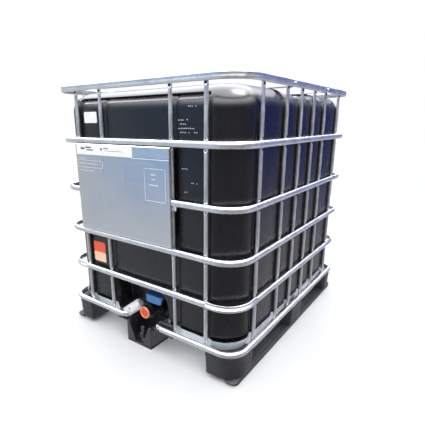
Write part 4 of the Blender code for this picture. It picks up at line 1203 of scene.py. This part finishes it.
def recolour(names, material):
    for name in names:
        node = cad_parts[name]
        node.data.materials.clear()
        node.data.materials.append(MATERIALS[material])


def build_kept_nodes():
    """CAD nodes that keep their shape get their finish here."""
    recolour([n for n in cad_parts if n.startswith("rivet_")], "zinc")
    recolour(["valve_stem"], "stem")
    recolour(["fill_cap_gasket", "vent_plug_seal", "outlet_cap_gasket"], "rubber")
    recolour(["butterfly_disc"], "valve")


# ---------------------------------------------------------------- floor, light and camera
def build_stage():
    bpy.ops.mesh.primitive_circle_add(vertices=96, radius=3.6, fill_type="NGON")
    floor = bpy.context.object
    floor.name = "floor"
    made = Nodes("pale_floor", 0.6)
    cloud = made.noise(0.8, 2)
    made.colour(made.mix(cloud, (0.90, 0.90, 0.90), (0.93, 0.93, 0.93)))
    made.rough(made.remap(cloud, 0.3, 0.7, 0.60, 0.75))
    floor.data.materials.append(made.material)
    floor.visible_glossy = False


def add_light(name, kind, location, target, power):
    light = bpy.data.lights.new(name, kind)
    light.energy = power
    made = bpy.data.objects.new(name, light)
    bpy.context.scene.collection.objects.link(made)
    made.location = location
    made.rotation_mode = "QUATERNION"
    made.rotation_quaternion = (Vector(target) - Vector(location)).to_track_quat("-Z", "Y")
    return made


class Sky(Tree):
    """The studio round the object: white to look at, a soft plain light, and a graded room in reflections."""

    def __init__(self):
        world = bpy.data.worlds.new("studio")
        bpy.context.scene.world = world
        world.use_nodes = True
        super().__init__(world.node_tree)
        self.rays = self.node("LightPath").outputs
        self.toward = self.node("SeparateXYZ", Vector=self.node("TexCoord").outputs["Generated"]).outputs

    def ramp(self, value, low, high):
        """0 to 1 as a value goes from low to high, smoothly."""
        made = self.node("MapRange", From_Min=low, From_Max=high, Value=value)
        made.interpolation_type = "SMOOTHSTEP"
        return made.outputs["Result"]


# The walls of the room and its floor: ahead on the right, on the left, far left and behind.
WALL_RIGHT, WALL_LEFT, WALL_FAR_LEFT = (0.15, 0.15, 0.18), (0.34, 0.57, 0.96), (0.70, 0.70, 0.69)
WALL_BEHIND = (0.055, 0.095, 0.46)
FLOOR_RIGHT, FLOOR_LEFT, FLOOR_BEHIND = (0.30, 0.30, 0.31), (0.74, 0.76, 0.79), (0.66, 0.66, 0.70)
CEILING = (6.8, 6.9, 7.2)
PLAIN_LIGHT, BACKDROP = (0.97, 0.98, 1.0), (1.0, 1.0, 1.0)


def build_light():
    sky = Sky()
    x, y, z = (sky.toward[name] for name in ("X", "Y", "Z"))
    leftward, behind = (x, 0.10, -0.62), (y, 0.10, 0.55)
    walls = sky.mix(sky.ramp(*leftward), WALL_RIGHT, WALL_LEFT)
    walls = sky.mix(sky.ramp(x, -0.69, -0.83), walls, WALL_FAR_LEFT)
    walls = sky.mix(sky.ramp(*behind), walls, WALL_BEHIND)
    below = sky.mix(sky.ramp(*leftward), FLOOR_RIGHT, FLOOR_LEFT)
    below = sky.mix(sky.ramp(*behind), below, FLOOR_BEHIND)
    room = sky.mix(sky.ramp(z, -0.05, -0.34), walls, below)
    room = sky.mix(sky.ramp(z, 0.30, 0.66), room, CEILING)
    plain = sky.mix(sky.rays["Is Glossy Ray"], PLAIN_LIGHT, room)
    shown = sky.mix(sky.rays["Is Camera Ray"], plain, BACKDROP)
    sky.tree.links.new(shown, sky.tree.nodes["Background"].inputs["Color"])
    sun = add_light("high_sun", "SUN", (1.2, -1.6, 4.0), (0.0, 0.0, 0.0), 0.8)
    sun.data.angle = math.radians(50)
    soft_box = add_light("soft_box", "AREA", (0.98, 0.18, 3.2), (0.42, -0.50, 1.08), 60)
    soft_box.data.shape = "SQUARE"
    soft_box.data.size = 0.9
    soft_box.visible_diffuse = False
    bpy.context.scene.view_settings.view_transform = "Standard"


AZIMUTH, ELEVATION, ROLL = math.radians(36.304), math.radians(15.798), math.radians(-0.244)
CAMERA_PLACE = (1.0753, -1.6259, 0.9909)
FOCAL_LENGTH, CAMERA_SHIFT = 31.04, (0.0362, 0.0323)


def build_camera():
    """The photograph's view: from the front right and a little below the rim's height, tilted down."""
    camera = bpy.data.cameras.new("camera")
    camera.sensor_width = 36
    camera.lens = FOCAL_LENGTH
    camera.shift_x, camera.shift_y = CAMERA_SHIFT
    camera.clip_start, camera.clip_end = 0.05, 200
    made = bpy.data.objects.new("camera", camera)
    bpy.context.scene.collection.objects.link(made)
    made.location = CAMERA_PLACE
    level = math.cos(ELEVATION)
    back = Vector((math.sin(AZIMUTH) * level, -math.cos(AZIMUTH) * level, math.sin(ELEVATION)))
    made.rotation_mode = "QUATERNION"
    unrolled = (-back).to_track_quat("-Z", "Y")
    made.rotation_quaternion = unrolled @ Matrix.Rotation(ROLL, 3, "Z").to_quaternion()
    bpy.context.scene.camera = made


# ---------------------------------------------------------------- assembly
build_camera()
build_cage()
build_crossbars()
build_plate_labels(*build_plate())
build_bottle()
build_bottle_labels()
build_closures()
build_valve()
build_lever()
build_adapter()
build_tray()
build_feet()
build_runners()
build_guard()
build_kept_nodes()
build_stage()
build_light()
